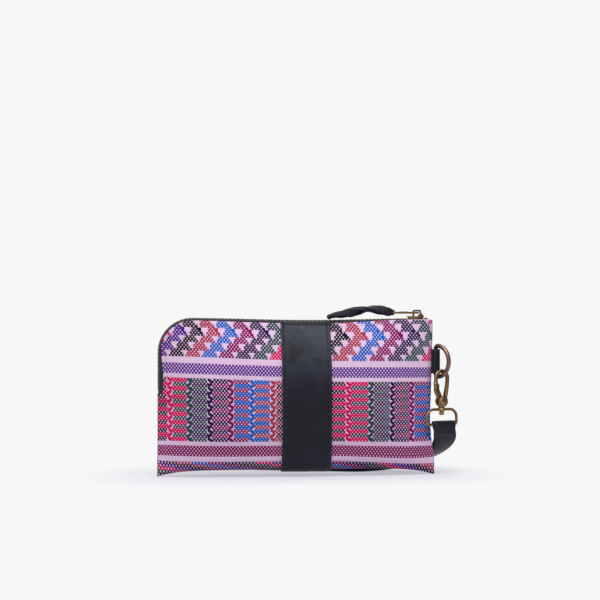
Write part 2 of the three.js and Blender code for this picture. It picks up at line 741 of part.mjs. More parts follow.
function hookBody() {
  const line = new THREE.Path();
  line.moveTo(-bailRadius, noseEnd);
  line.lineTo(-bailRadius, bailCentre - 1.5);
  line.lineTo(-bailRadius, bailCentre);
  line.absarc(0, bailCentre, bailRadius, Math.PI, 0, true);
  line.bezierCurveTo(
    bailRadius, bailCentre - 6,
    bailRadius * 0.75, bailCentre - 10,
    knuckleRadius - hookWire * 0.45, 0.8,
  );
  const wire = planarSweep(trimmed(line.getPoints(9)), false, (t) => ({
    wide: hookWire / 2,
    deep: hookWire / 2 + 0.5 * ramp((t - 0.55) / 0.3),
    sides: 10,
  }));
  // The nose is cut to a circle about the rivet, just outside that of the gate's tip.
  const onCircle = (x) => pivot.z + Math.sqrt((gateReach + gap) ** 2 - (x - pivot.x) ** 2);
  const nose = new THREE.Shape();
  const [outer, inner] = [-bailRadius - hookWire * 0.42, -bailRadius + hookWire * 0.42];
  nose.moveTo(outer, noseEnd + 1);
  for (const t of steps(3)) {
    const x = outer + (inner - outer) * t;
    nose.lineTo(x, onCircle(x));
  }
  nose.lineTo(inner, noseEnd + 1);
  const tip = new THREE.ExtrudeGeometry(nose, { depth: gateThickness, bevelEnabled: false });
  tip.rotateX(Math.PI / 2).translate(0, gateThickness / 2, 0);
  const knuckle = rod(knuckleRadius, knuckleThickness, 26);
  const foot = rod(collarRadius - 0.5, 2.4, 16).rotateX(Math.PI / 2);
  foot.translate(0, 0, -knuckleRadius + 1.2);
  const shankLength = collarHeight + peenHeight + 2 * gap + 1;
  const shank = rod(shankRadius, shankLength, 14).rotateX(Math.PI / 2);
  shank.translate(0, 0, -knuckleRadius + 1 - shankLength / 2);
  const peen = new THREE.LatheGeometry(
    [
      new THREE.Vector2(0, 0),
      new THREE.Vector2(peenRadius * 0.7, 0),
      new THREE.Vector2(peenRadius, 0.8),
      new THREE.Vector2(peenRadius, peenHeight - 0.5),
      new THREE.Vector2(shankRadius, peenHeight),
      new THREE.Vector2(0, peenHeight),
    ],
    16,
  ).rotateX(Math.PI / 2);
  peen.translate(0, 0, collarBottom - gap - peenHeight);
  // The slot for the gate is open above and to the left.
  const slotWidth = 3 * knuckleRadius;
  const slotHeight = 3.5 * knuckleRadius;
  const slotFloor = -gateRootRadius + pivot.z - gap;
  const slotEnd = knuckleRadius - spineWall;
  const slot = box(slotWidth, 2 * slotHalf, slotHeight);
  slot.translate(slotEnd - slotWidth / 2, 0, slotFloor + slotHeight / 2);
  const bore = rod(rivetRadius + gap, knuckleThickness * 2, 16).translate(pivot.x, 0, pivot.z);
  const body = join(wire, tip, knuckle, foot, shank, peen);
  return surface(body.subtract(solid(slot)).subtract(solid(bore)));
}

// Sprung gate: a round root on the rivet, a tapered lever, and a tongue inside the nose
function hookGate() {
  // Its end is trimmed to a circle about the rivet, so that it swings clear of the nose.
  const reach = gateReach;
  const onCircle = (x) => Math.sqrt(reach * reach - x * x);
  const outside = -bailRadius - pivot.x - gateTipWidth / 2;
  const inside = -bailRadius - pivot.x + hookWire / 2 + gap;
  const lever = new THREE.Shape();
  lever.moveTo(-gateRootRadius * 0.95, 0.6);
  lever.lineTo(outside, onCircle(outside) - 3);
  lever.lineTo(outside, onCircle(outside));
  lever.lineTo((outside + inside) / 2, onCircle((outside + inside) / 2));
  lever.lineTo(inside, onCircle(inside));
  lever.lineTo(inside, reach + 0.9);
  lever.lineTo(inside + 0.8, reach + 0.6);
  lever.lineTo(inside + 0.6, reach - 3);
  lever.lineTo(gateRootRadius * 0.55, 1.5);
  const options = { depth: gateThickness, bevelEnabled: false, curveSegments: 4 };
  const blade = new THREE.ExtrudeGeometry(lever, options).rotateX(Math.PI / 2);
  blade.translate(0, gateThickness / 2, 0);
  const root = rod(gateRootRadius, gateThickness, 20);
  const bore = rod(rivetRadius + gap, gateThickness * 2, 16);
  const springPocket = rod(gateRootRadius - 0.5, springRoom * 2, 18);
  springPocket.translate(0, -gateThickness / 2, 0);
  return surface(join(blade, root).subtract(solid(bore)).subtract(solid(springPocket)));
}

const springRoom = springWire * (springTurns + 1) + 2 * gap;

// Coil of the gate's torsion spring, round the rivet inside the gate's root
function gateSpring() {
  const radius = rivetRadius + gap + springWire / 2 + 0.1;
  const pitch = springWire + 0.1;
  const start = -gateThickness / 2 + springWire / 2 + 0.1;
  const rings = steps(springTurns * 12).map((t) => {
    const angle = t * springTurns * 2 * Math.PI;
    const out = vec(Math.cos(angle), 0, Math.sin(angle));
    const at = out.clone().multiplyScalar(radius).setY(start + t * springTurns * pitch);
    return Array.from({ length: 5 }, (_, k) => {
      const around = (k / 5) * 2 * Math.PI;
      const spot = at.clone().addScaledVector(out, (Math.cos(around) * springWire) / 2);
      return spot.add(vec(0, (Math.sin(around) * springWire) / 2, 0));
    });
  });
  return skin(rings);
}

function gateRivet() {
  const half = knuckleHalf + gap;
  const profile = [
    [0, -half - rivetHeadHeight],
    [rivetHeadRadius * 0.6, -half - rivetHeadHeight],
    [rivetHeadRadius, -half - rivetHeadHeight * 0.4],
    [rivetHeadRadius, -half],
    [rivetRadius, -half],
    [rivetRadius, half],
    [rivetHeadRadius, half],
    [rivetHeadRadius, half + rivetHeadHeight * 0.4],
    [rivetHeadRadius * 0.6, half + rivetHeadHeight],
    [0, half + rivetHeadHeight],
  ];
  return new THREE.LatheGeometry(profile.map(([r, y]) => new THREE.Vector2(r, y)), 16);
}

// Swivel eye: a wire loop with a collar that turns on the hook's shank
const eyeTopLevel = collarTop - collarHeight / 2;
const eyeBarLevel = eyeTopLevel - eyeDrop;

function swivelEye() {
  const half = eyeWidth / 2 + eyeWire / 2;
  const quarter = Math.PI / 2;
  const [topX, topZ] = [half - eyeTopRadius, eyeTopLevel - eyeTopRadius];
  const [barX, barZ] = [half - eyeBarRadius, eyeBarLevel + eyeBarRadius];
  const outline = new THREE.Path();
  outline.moveTo(-topX, eyeTopLevel);
  outline.lineTo(topX, eyeTopLevel);
  outline.absarc(topX, topZ, eyeTopRadius, quarter, 0, true);
  outline.lineTo(half, barZ);
  outline.absarc(barX, barZ, eyeBarRadius, 0, -quarter, true);
  outline.lineTo(-barX, eyeBarLevel);
  outline.absarc(-barX, barZ, eyeBarRadius, -quarter, -2 * quarter, true);
  outline.lineTo(-half, topZ);
  outline.absarc(-topX, topZ, eyeTopRadius, 2 * quarter, quarter, true);
  const loop = planarSweep(trimmed(outline.getPoints(6)), true, wireSection(eyeWire / 2));
  const belly = collarRadius;
  const collar = new THREE.LatheGeometry(
    [
      [0, -collarHeight / 2],
      [belly - 0.8, -collarHeight / 2],
      [belly, -collarHeight / 4],
      [belly, collarHeight / 4],
      [belly - 0.8, collarHeight / 2],
      [0, collarHeight / 2],
    ].map(([r, y]) => new THREE.Vector2(r, y)),
    18,
  ).rotateX(Math.PI / 2);
  collar.translate(0, 0, eyeTopLevel);
  const bore = rod(shankRadius + gap, collarHeight * 3, 14).rotateX(Math.PI / 2);
  bore.translate(0, 0, eyeTopLevel);
  return surface(join(loop, collar).subtract(solid(bore)));
}

// Wrist strap. One strip of leather: its turned end hangs in front of the eye's bar, it goes
// over the bar and down the neck, opens into the wrist loop that lies behind the pouch, and
// comes back up the neck. Drawn in the part's own frame, about the bar's centre.
// The lower ply runs up the neck into the space below the bar.
const lowPly = strapPly + plyGap - (eyeWire / 2 + gap + strapPly / 2);

// Place on the Bezier curve through any number of handles
function onCurve(handles, t) {
  if (handles.length === 1) return handles[0].clone();
  return onCurve(
    handles.slice(1).map((p, i) => handles[i].clone().lerp(p, t)),
    t,
  );
}

function strapFrames(barCentre) {
  const turn = radians(eyeTurn);
  const along = vec(Math.cos(turn), Math.sin(turn), 0);
  const heading = radians(strapHeading);
  const away = vec(Math.cos(heading), Math.sin(heading), 0);
  const start = barCentre.clone().addScaledVector(along, strapShift);
  const landing = vec(strapLandingX, strapLandingY, strapPly / 2 - lowPly);
  // Straight down from the bar, out past the pouch's lower corner, then in behind the pouch
  const handles = [
    start,
    start.clone().add(vec(-0.22, 0.56, -3.4)),
    start.clone().add(vec(17, 19, -23)),
    landing.clone().addScaledVector(away, -48).add(vec(0, 0, 1.5)),
    landing,
  ];
  const frameAt = (t) => {
    const at = onCurve(handles, t);
    const ahead = onCurve(handles, t + 0.001).sub(onCurve(handles, t - 0.001)).normalize();
    const angle = turn + (heading - Math.PI / 2 - turn) * ramp((t - 0.25) / 0.6);
    const wide = vec(Math.cos(angle), Math.sin(angle), 0);
    return { at, ahead, wide, back: wide.clone().cross(ahead).normalize() };
  };
  return { frameAt, landing, away };
}

function wristStrap(barCentre) {
  const { frameAt, landing, away } = strapFrames(barCentre);
  const wrap = eyeWire / 2 + gap + strapPly / 2;
  const line = [];
  const put = (frame, offset, slide = 0) => {
    const at = frame.at.clone().addScaledVector(frame.back, offset);
    at.addScaledVector(frame.ahead, slide);
    line.push({ at, wide: frame.wide });
  };
  const start = frameAt(0);
  // Turned end in front of the bar, then over the bar
  for (const d of [strapFlap, strapFlap * 0.66, strapFlap * 0.33, 0]) put(start, -wrap, d);
  for (const t of steps(8).slice(1, -1)) {
    put(start, -wrap * Math.cos(t * Math.PI), -wrap * Math.sin(t * Math.PI));
  }
  const outerPly = lowPly + strapPly + plyGap;
  const eased = (t) => wrap + (outerPly - wrap) * ramp((t - 0.12) / 0.2);
  put(start, wrap, 0);
  const neckSteps = steps(16).slice(1);
  for (const t of neckSteps) put(frameAt(t), eased(t));
  // Open loop behind the pouch: arched above, flat on the ground below
  const end = frameAt(1);
  const wide = end.wide;
  const noseRadius = strapArch * noseRadiusShare;
  const spot = (a, height) => landing.clone().addScaledVector(away, a).setZ(height);
  const topStart = landing.z + outerPly;
  const ground = landing.z + lowPly;
  const noseTop = ground + 2 * noseRadius;
  const arch = new THREE.CubicBezierCurve(
    new THREE.Vector2(0, topStart),
    new THREE.Vector2(strapRun * 0.35, topStart),
    new THREE.Vector2(strapRun * 0.55, noseTop),
    new THREE.Vector2(strapRun - noseRadius, noseTop),
  );
  for (const t of steps(12).slice(1)) {
    const p = arch.getPoint(t);
    line.push({ at: spot(p.x, p.y), wide });
  }
  for (const t of steps(8).slice(1)) {
    const a = strapRun - noseRadius + Math.sin(t * Math.PI) * noseRadius;
    line.push({ at: spot(a, noseTop - noseRadius + Math.cos(t * Math.PI) * noseRadius), wide });
  }
  for (const t of steps(5).slice(1)) {
    line.push({ at: spot((strapRun - noseRadius) * (1 - t), ground), wide });
  }
  for (const t of [...neckSteps].reverse().slice(1, -2)) put(frameAt(t), lowPly);
  return skin(strapSection(line));
}

// A flat strip through the places of a line, each with its own direction across
function strapSection(line) {
  return line.map(({ at, wide }, i) => {
    const before = line[Math.max(i - 1, 0)].at;
    const after = line[Math.min(i + 1, line.length - 1)].at;
    const ahead = after.clone().sub(before).normalize();
    const normal = wide.clone().cross(ahead).normalize();
    const corner = (a, b) =>
      at
        .clone()
        .addScaledVector(wide, (a * strapWidth) / 2)
        .addScaledVector(normal, (b * strapPly) / 2);
    return [corner(-1, -1), corner(1, -1), corner(1, 1), corner(-1, 1)];
  });
}

// Assembly
const wristlet = new THREE.Group();
wristlet.add(mesh("outer_fabric", outerFabric(), wovenCloth));
wristlet.add(mesh("lining", lining(), cottonLining));
wristlet.add(mesh("leather_band", leatherBand(), leather));
for (const [label, side] of [["front", -1], ["back", 1]]) {
  wristlet.add(mesh(`zip_tape_${label}`, zipTape(side), zipCloth));
  wristlet.add(mesh(`zip_teeth_${label}`, teethRow(side), agedBrass));
  wristlet.add(mesh(`zip_top_stop_${label}`, topStop(side), agedBrass));
}
wristlet.add(mesh("zip_bottom_stop", bottomStop(), agedBrass));

const sliderGroup = new THREE.Group();
const climbHere = 1 + (topRise * (halfWidth - sliderRestX)) / pouchHeight;
sliderGroup.position.set(sliderRestX, 0, chainLevel * climbHere);
sliderGroup.rotation.y = Math.atan(topRise);
sliderGroup.add(mesh("zip_slider", slider(), agedBrass));
const pull = new THREE.Group();
pull.position.set(pivotX, 0, pivotLevel);
pull.add(mesh("pull_tab", pullTab(), agedBrass));
pull.add(mesh("pull_thong", thong(), leather));
sliderGroup.add(pull);
wristlet.add(sliderGroup);

const ringGroup = new THREE.Group();
ringGroup.position.set(ringBarX, 0, ringCentreZ);
ringGroup.add(mesh("ring_tab", ringTab(), leather));
const ring = mesh("d_ring", dRing(), agedBrass);
ring.rotation.z = radians(ringTurn);
ringGroup.add(ring);
wristlet.add(ringGroup);

// The hook hangs on the lower wire of the ring, square to it.
const bowRadius = ringHeight / 2 + ringWire / 2;
const bowStart = Math.max(ringDepth + ringWire - bowRadius, ringCorner);
const pastBow = Math.max(hangDistance - bowStart, 0);
const wireRise = bowRadius - Math.sqrt(bowRadius ** 2 - pastBow ** 2);
const wireLevel = ringCentreZ - bowRadius + wireRise;
const bailClearance = (ringWire / 2 + hookWire / 2 + hangGap) / Math.cos(Math.asin(pastBow / bowRadius));
const ringDirection = vec(Math.cos(radians(ringTurn)), Math.sin(radians(ringTurn)), 0);
const hookPlace = vec(ringBarX, 0, 0).addScaledVector(ringDirection, hangDistance);
hookPlace.z = wireLevel + bailClearance - hookLength;

const hook = new THREE.Group();
hook.position.copy(hookPlace);
hook.rotation.z = radians(hookTurn);
hook.add(mesh("hook_body", hookBody(), agedBrass));
const gate = mesh("hook_gate", hookGate(), agedBrass);
gate.position.copy(pivot);
hook.add(gate);
const rivet = mesh("gate_rivet", gateRivet(), agedBrass);
rivet.position.copy(pivot);
hook.add(rivet);
const spring = mesh("gate_spring", gateSpring(), springSteel);
spring.position.copy(pivot);
hook.add(spring);
wristlet.add(hook);

const eye = mesh("swivel_eye", swivelEye(), agedBrass);
eye.position.copy(hookPlace);
eye.rotation.z = radians(eyeTurn);
wristlet.add(eye);

const barCentre = hookPlace.clone().add(vec(0, 0, eyeBarLevel));
wristlet.add(mesh("wrist_strap", wristStrap(barCentre), leather));

export default wristlet;
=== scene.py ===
import math

import bmesh
import bpy
import numpy as np
from mathutils import Matrix, Vector, noise


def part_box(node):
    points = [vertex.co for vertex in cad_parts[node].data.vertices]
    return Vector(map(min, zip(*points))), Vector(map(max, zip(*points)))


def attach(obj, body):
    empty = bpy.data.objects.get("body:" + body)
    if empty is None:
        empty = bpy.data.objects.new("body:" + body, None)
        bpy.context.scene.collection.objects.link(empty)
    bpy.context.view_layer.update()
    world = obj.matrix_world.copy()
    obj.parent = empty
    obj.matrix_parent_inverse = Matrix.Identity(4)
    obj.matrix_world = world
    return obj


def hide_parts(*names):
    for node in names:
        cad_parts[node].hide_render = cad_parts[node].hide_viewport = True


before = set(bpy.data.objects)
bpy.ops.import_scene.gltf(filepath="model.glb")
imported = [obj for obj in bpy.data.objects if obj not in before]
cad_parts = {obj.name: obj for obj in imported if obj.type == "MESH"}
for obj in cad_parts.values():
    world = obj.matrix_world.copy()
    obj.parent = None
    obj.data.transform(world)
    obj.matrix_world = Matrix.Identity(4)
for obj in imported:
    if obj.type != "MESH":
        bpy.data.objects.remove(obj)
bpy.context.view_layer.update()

scene = bpy.context.scene
MM = 0.001
UPRIGHT = Matrix.Rotation(math.pi / 2, 4, "X")  # lays a plate drawn in XY into the XZ plane

# Pouch
HALF_WIDTH = 103.5
HEIGHT = 118.0
RISE = 0.003  # of the top edge towards the left
SAG, SAG_X, SAG_SPREAD = 1.7, 8, 62  # of the top edge in the middle
CORNER = 26.0
CORNER_X, CORNER_Z = CORNER - HALF_WIDTH, HEIGHT - CORNER  # where the rounded corner begins
SEAM_HALF = 1.6
RIM_HALF = 7.1
BULGE = math.sqrt(19.25**2 - SEAM_HALF**2)
SIDE_ROLL, TOP_ROLL, BELLY = 54, 58, 50  # where the full depth is reached, from each edge
ROLL_POWER, SIDE_PINCH = 0.62, 1.6  # how round the stuffed pouch is, and its two sides
SIDE_EDGE = 1.9  # radius to which the cloth turns in at its side seams
BASE_FULLNESS = 0.62  # share of the full depth that is left at the base
ARCH = 5.2  # of the base, between the two corners that it stands on
ARCH_FADE = 36  # height at which the arch has faded out
TURN_UNDER = 14.0  # height over which the cloth turns in to the base
DRAWN_OUT = 0.65  # how far the pattern is drawn out where the cloth turns under

# Zip
ZIP_END_Z = 59.4
ZIP_MARGIN = 3.5
CHAIN_INSET = 1.15
TOOTH_PITCH = 160 / 53  # the slider's run is a whole number of teeth

# Leather band
BAND_X = 6.0
BAND_WIDTH = 37.0
BAND_GAP = 0.35  # between the band and the cloth
BAND_THICKNESS = 1.5
BAND_SEAM = 2.2  # from the band's edge to its stitches
HEM_SEAM = 3.2  # from the band's end to its stitches
SEAM_FROM_END = 3.0  # where the rows along its edges stop
SEAM_LEVEL, HEM_LEVEL = 1.25, 1.85  # height of the stitches over the band's inner face

SIDES = (("front", -1), ("back", 1))
PLAY = 0.3  # between a part and the wire or pin that it turns on


# ---------------------------------------------------------------- meshes
def link(name, mesh, body, material=None, smooth=True):
    piece = bpy.data.objects.new(name, mesh)
    scene.collection.objects.link(piece)
    if smooth:
        mesh.shade_smooth()
    if material is not None:
        mesh.materials.clear()
        mesh.materials.append(material)
    if body:
        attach(piece, body)
    return piece


def mesh_from(name, points, faces):
    """Points are in millimetres."""
    mesh = bpy.data.meshes.new(name)
    mesh.from_pydata((np.asarray(points, float) * MM).tolist(), [], [list(f) for f in faces])
    mesh.validate()
    mesh.update()
    return mesh


def outward(mesh, merge=False):
    """Turns the faces outward, and can merge doubled points first."""
    shape = bmesh.new()
    shape.from_mesh(mesh)
    if merge:
        bmesh.ops.remove_doubles(shape, verts=shape.verts, dist=1e-6)
    bmesh.ops.recalc_face_normals(shape, faces=shape.faces)
    shape.to_mesh(mesh)
    shape.free()
    return mesh


def joined(name, meshes):
    shape = bmesh.new()
    for mesh in meshes:
        shape.from_mesh(mesh)
    result = bpy.data.meshes.new(name)
    shape.to_mesh(result)
    shape.free()
    return result


def moved(mesh, *matrices):
    for matrix in matrices:
        mesh.transform(matrix)
    return mesh


def shift(x=0, y=0, z=0):
    return Matrix.Translation((x * MM, y * MM, z * MM))


def frame_matrix(origin, turn_degrees):
    return shift(*origin) @ Matrix.Rotation(math.radians(turn_degrees), 4, "Z")


def grid_faces(rows, cols, start=0, close_rows=False, close_cols=False):
    faces = []
    for r in range(rows if close_rows else rows - 1):
        for c in range(cols if close_cols else cols - 1):
            a = start + r * cols + c
            b = start + r * cols + (c + 1) % cols
            d = start + ((r + 1) % rows) * cols + c
            e = start + ((r + 1) % rows) * cols + (c + 1) % cols
            faces.append((a, b, e, d))
    return faces


def sweep(name, rings, closed=False):
    """A closed surface through rings of equal size."""
    rings = np.asarray(rings, float)
    count, size = rings.shape[:2]
    faces = grid_faces(count, size, close_rows=closed, close_cols=True)
    if not closed:
        faces += [range(size), range(count * size - 1, count * size - 1 - size, -1)]
    return outward(mesh_from(name, rings.reshape(-1, 3), faces))


# ---------------------------------------------------------------- lines and sections
def unit_rows(vectors):
    return vectors / np.linalg.norm(vectors, axis=1)[:, None]


def directions(line):
    return unit_rows(np.gradient(line, axis=0))


def distances(line):
    """Length along a polyline at each of its points."""
    return np.concatenate([[0], np.cumsum(np.linalg.norm(np.diff(line, axis=0), axis=1))])


def at_distance(s, run, line):
    return np.array([np.interp(s, run, line[:, i]) for i in range(line.shape[1])])


def rounding(distance, radius, least=0.0):
    """Share of the full height at a distance from a rounded edge."""
    return np.sqrt(np.maximum(1 - (1 - np.minimum(distance / radius, 1)) ** 2, least))


def rounded_section(width, thickness, radius, corner_steps=3, across=0):
    """Corners of a rounded rectangle, anticlockwise, as (across, out) pairs."""
    points = []
    a, b = width / 2 - radius, thickness / 2 - radius
    for cx, cy, start in ((a, b, 0), (-a, b, 90), (-a, -b, 180), (a, -b, 270)):
        for k in range(corner_steps + 1):
            angle = math.radians(start + 90 * k / corner_steps)
            points.append((cx + radius * math.cos(angle), cy + radius * math.sin(angle)))
        if across and start in (0, 180):
            sign = 1 if start == 0 else -1
            for k in range(1, across):
                points.append((sign * (a - 2 * a * k / across), sign * thickness / 2))
    return points


def round_section(radius, sides=20, deep=None):
    deep = deep or radius
    return [
        (radius * math.cos(k * 2 * math.pi / sides), deep * math.sin(k * 2 * math.pi / sides))
        for k in range(sides)
    ]


def arc(cx, cy, rx, start, end, count, ry=None):
    ry = ry or rx
    angles = np.radians(np.linspace(start, end, count))
    return [(cx + rx * math.cos(a), cy + ry * math.sin(a)) for a in angles]


def disc(radius, count):
    return arc(0, 0, radius, 0, 360, count + 1)[:-1]


def rounded_rectangle(x0, y0, x1, y1, r, count=6):
    corners = (
        (x1 - r, y1 - r, 0), (x0 + r, y1 - r, 90), (x0 + r, y0 + r, 180), (x1 - r, y0 + r, 270),
    )
    return [spot for x, y, start in corners for spot in arc(x, y, r, start, start + 90, count)]


def bezier_point(points, t):
    while len(points) > 1:
        points = points[:-1] * (1 - t) + points[1:] * t
    return points[0]


def bezier(points, count):
    points = np.asarray(points, float)
    return np.asarray([bezier_point(points, t) for t in np.linspace(0, 1, count)])


def smooth_route(points, count):
    """A smooth line through points, by Catmull-Rom spans."""
    points = np.asarray(points, float)
    padded = np.vstack([2 * points[0] - points[1], points, 2 * points[-1] - points[-2]])
    line = []
    spans = len(points) - 1
    for k in range(spans):
        a, b, c, d = padded[k : k + 4]
        for t in np.linspace(0, 1, max(count // spans, 2), endpoint=False):
            line.append(0.5 * (
                2 * b + (c - a) * t + (2 * a - 5 * b + 4 * c - d) * t**2
                + (3 * b - a - 3 * c + d) * t**3
            ))
    line.append(points[-1])
    return np.asarray(line)


def resampled(line, step):
    """Points at even distances along a polyline."""
    line = np.asarray(line, float)
    run = distances(line)
    count = max(int(round(run[-1] / step)), 1)
    at = np.linspace(0, run[-1], count + 1)
    return np.stack([np.interp(at, run, line[:, k]) for k in range(line.shape[1])], 1)


def chain(*parts):
    """One line of points from parts that each begin where the one before ends."""
    return [*parts[0], *(spot for part in parts[1:] for spot in part[1:])]


def plate(outline, thickness, bevel, holes=(), resolution=3):
    """A flat plate in the XY plane with rounded edges, centred on z = 0."""
    curve = bpy.data.curves.new("plate", "CURVE")
    curve.dimensions = "2D"
    curve.fill_mode = "BOTH"
    for points in [outline, *holes]:
        spline = curve.splines.new("POLY")
        spline.points.add(len(points) - 1)
        for place, (x, y) in zip(spline.points, points):
            place.co = (x * MM, y * MM, 0, 1)
        spline.use_cyclic_u = True
    curve.extrude = (thickness / 2 - bevel) * MM
    curve.bevel_depth = bevel * MM
    curve.bevel_resolution = resolution
    curve.offset = -bevel * MM
    holder = bpy.data.objects.new("plate", curve)
    scene.collection.objects.link(holder)
    bpy.context.view_layer.update()
    mesh = bpy.data.meshes.new_from_object(
        holder.evaluated_get(bpy.context.evaluated_depsgraph_get())
    )
    bpy.data.objects.remove(holder)
    bpy.data.curves.remove(curve)
    return outward(mesh, merge=True)


def lathe(name, profile, sides=32):
    """Turned about the Z axis; profile is (radius, z) pairs from end to end."""
    return sweep(name, [[(x, y, z) for x, y in round_section(r, sides)] for r, z in profile])


def planar_sweep(name, line, section, closed):
    """Sweeps section(t), (in plane, along Y) pairs, along a line in the XZ plane."""
    line = np.asarray(line, float)
    if closed:
        ahead = unit_rows(np.roll(line, -1, 0) - np.roll(line, 1, 0))
    else:
        ahead = directions(line)
    run = distances(line)
    rings = []
    for (x, z), (ax, az), t in zip(line, ahead, run / run[-1]):
        rings.append([(x - az * a, b, z + ax * a) for a, b in section(t)])
    return sweep(name, rings, closed)


# ---------------------------------------------------------------- materials
def linear(value):
    """'#rrggbb' as linear light."""
    parts = [int(value[i : i + 2], 16) / 255 for i in (1, 3, 5)]
    return (*(p / 12.92 if p <= 0.04045 else ((p + 0.055) / 1.055) ** 2.4 for p in parts), 1)


def between(operation, swapped=False):
    """A method of Wire that puts a Math node between it and another value."""
    def apply(self, other):
        return self.graph.math(operation, *((other, self) if swapped else (self, other)))

    return apply


class Wire:
    """A socket of a node tree that can be used in arithmetic."""

    def __init__(self, graph, socket):
        self.graph, self.socket = graph, socket

    __add__ = __radd__ = between("ADD")
    __sub__, __rsub__ = between("SUBTRACT"), between("SUBTRACT", swapped=True)
    __mul__ = __rmul__ = between("MULTIPLY")
    __truediv__ = between("DIVIDE")
    __mod__ = between("FLOORED_MODULO")
    __lt__, __gt__ = between("LESS_THAN"), between("GREATER_THAN")


def function(operation):
    """A method of Graph that makes one Math node."""
    return lambda graph, *values: graph.math(operation, *values)


class Graph:
    """A material's nodes, written as expressions."""

    floor, fract, ceil = function("FLOOR"), function("FRACT"), function("CEIL")
    abs, sine, root = function("ABSOLUTE"), function("SINE"), function("SQRT")
    low, high = function("MINIMUM"), function("MAXIMUM")

    def __init__(self, name):
        self.material = bpy.data.materials.new(name)
        self.material.use_nodes = True
        self.nodes = self.material.node_tree.nodes
        self.links = self.material.node_tree.links
        self.nodes.clear()
        self.output = self.nodes.new("ShaderNodeOutputMaterial")

    def put(self, socket, value):
        """Links a wire to the socket or sets its value; a colour can be '#rrggbb'."""
        if isinstance(value, Wire):
            self.links.new(value.socket, socket)
        elif value is not None:
            socket.default_value = linear(value) if isinstance(value, str) else value

    def node(self, kind, out=0, settings=(), **inputs):
        made = self.nodes.new(kind)
        for key, value in dict(settings).items():
            setattr(made, key, value)
        for key, value in inputs.items():
            self.put(made.inputs[key.replace("_", " ")], value)
        return Wire(self, made.outputs[out])

    def filled(self, kind, values, **settings):
        """A node whose inputs are filled in their order."""
        made = self.nodes.new(kind)
        for key, value in settings.items():
            setattr(made, key, value)
        for socket, value in zip(made.inputs, values):
            self.put(socket, value)
        return Wire(self, made.outputs[0])

    def math(self, operation, *values):
        return self.filled("ShaderNodeMath", values, operation=operation)

    def ramp(self, value, start, end, low=0.0, high=1.0):
        return self.filled(
            "ShaderNodeMapRange", (value, start, end, low, high), interpolation_type="SMOOTHSTEP"
        )

    def mix(self, factor, a, b):
        made = self.nodes.new("ShaderNodeMix")
        made.data_type = "RGBA"
        for socket, value in zip((made.inputs[0], *made.inputs[6:8]), (factor, a, b)):
            self.put(socket, value)
        return Wire(self, made.outputs[2])

    def mix_shaders(self, factor, a, b):
        return self.filled("ShaderNodeMixShader", (factor, a, b))

    def blend(self, factor, a, b):
        """Numbers: a at 0, b at 1."""
        return factor * (b - a) + a

    def place(self):
        """Position in the part's frame, in metres."""
        return self.node("ShaderNodeTexCoord", out=3)

    def split(self, vector):
        made = self.nodes.new("ShaderNodeSeparateXYZ")
        self.put(made.inputs[0], vector)
        return [Wire(self, socket) for socket in made.outputs]

    def noise(self, scale, detail=2.0, roughness=0.5, at=None):
        return self.node(
            "ShaderNodeTexNoise", Vector=at or self.place(), Scale=scale, Detail=detail,
            Roughness=roughness,
        )

    def cells(self, scale, feature="F1"):
        return self.node(
            "ShaderNodeTexVoronoi", settings={"feature": feature}, Vector=self.place(), Scale=scale
        )

    def attribute(self, name):
        made = self.nodes.new("ShaderNodeAttribute")
        made.attribute_name = name
        return self.split(Wire(self, made.outputs["Vector"]))

    def pointiness(self):
        return self.node("ShaderNodeNewGeometry", out=7)

    def palette(self, factor, colours):
        """Picks one of several colours, without blending."""
        made = self.nodes.new("ShaderNodeValToRGB")
        made.color_ramp.interpolation = "CONSTANT"
        spots = made.color_ramp.elements
        while len(spots) < len(colours):
            spots.new(0.5)
        for i, colour in enumerate(colours):
            spots[i].position = i / len(colours)
        for i, colour in enumerate(colours):
            spots[i].color = linear(colour)
        self.put(made.inputs[0], factor)
        return Wire(self, made.outputs[0])

    def bump(self, height, distance, strength=1.0, under=None):
        return self.node(
            "ShaderNodeBump", Strength=strength, Distance=distance, Height=height, Normal=under
        )

    def finish(self, **inputs):
        surface = self.node("ShaderNodeBsdfPrincipled", **inputs)
        self.put(self.output.inputs[0], surface)
        return self.material


# The cloth's pattern, in cells of the weave. One repeat holds four zones of rows.
DYES = ["#521e8a", "#14101c", "#ac384e", "#0a62c0", "#880c5a", "#261448", "#184846", "#dc085c"]
MAROON = 4.0  # its place among the dyes
WARP = 1.25  # width of a cell
WEFT = 1.55  # height of a row of cells
PATTERN_FOOT = 27.0  # height of the lowest row of blocks
REPEAT = 69.0
BLOCK_ROWS, VIOLET_ROWS, CHEVRON_ROWS, MAROON_ROWS = (0, 30), (32, 37), (40, 60), (62, 67)
UNDER_ROWS = (-21.5, -1.0)  # rows where the cloth turns under the base
# Chevrons: tiers of small triangles, three that climb to the right and three that fall back
TIER_ROWS, UPPER_TIER_ROWS = 3.3, 3.9
TIER_STEP = 5.25  # each tier lies this much farther from the tip
TIP_TIER = 3.0
LEFT_SLOPE, RIGHT_SLOPE = 1.9, 2.7  # how far a triangle narrows from its foot to its top
SPINE = 2.2  # width of the solid line behind the tip
# Upright zigzag lines between the blocks
ZIGZAG_WIDTH, ZIGZAG_PINCH, ZIGZAG_SWING = 1.65, 1.05, 3.6
BAR_NEAR = 1.2  # between a bar and the zigzag line that it starts from
LEFT_BAR_FAR, RIGHT_BAR_FAR = 2.0, 1.9  # between its other end and the next line
WEFT_YARN, WARP_YARN = 0.39, 0.45  # of the fine threads


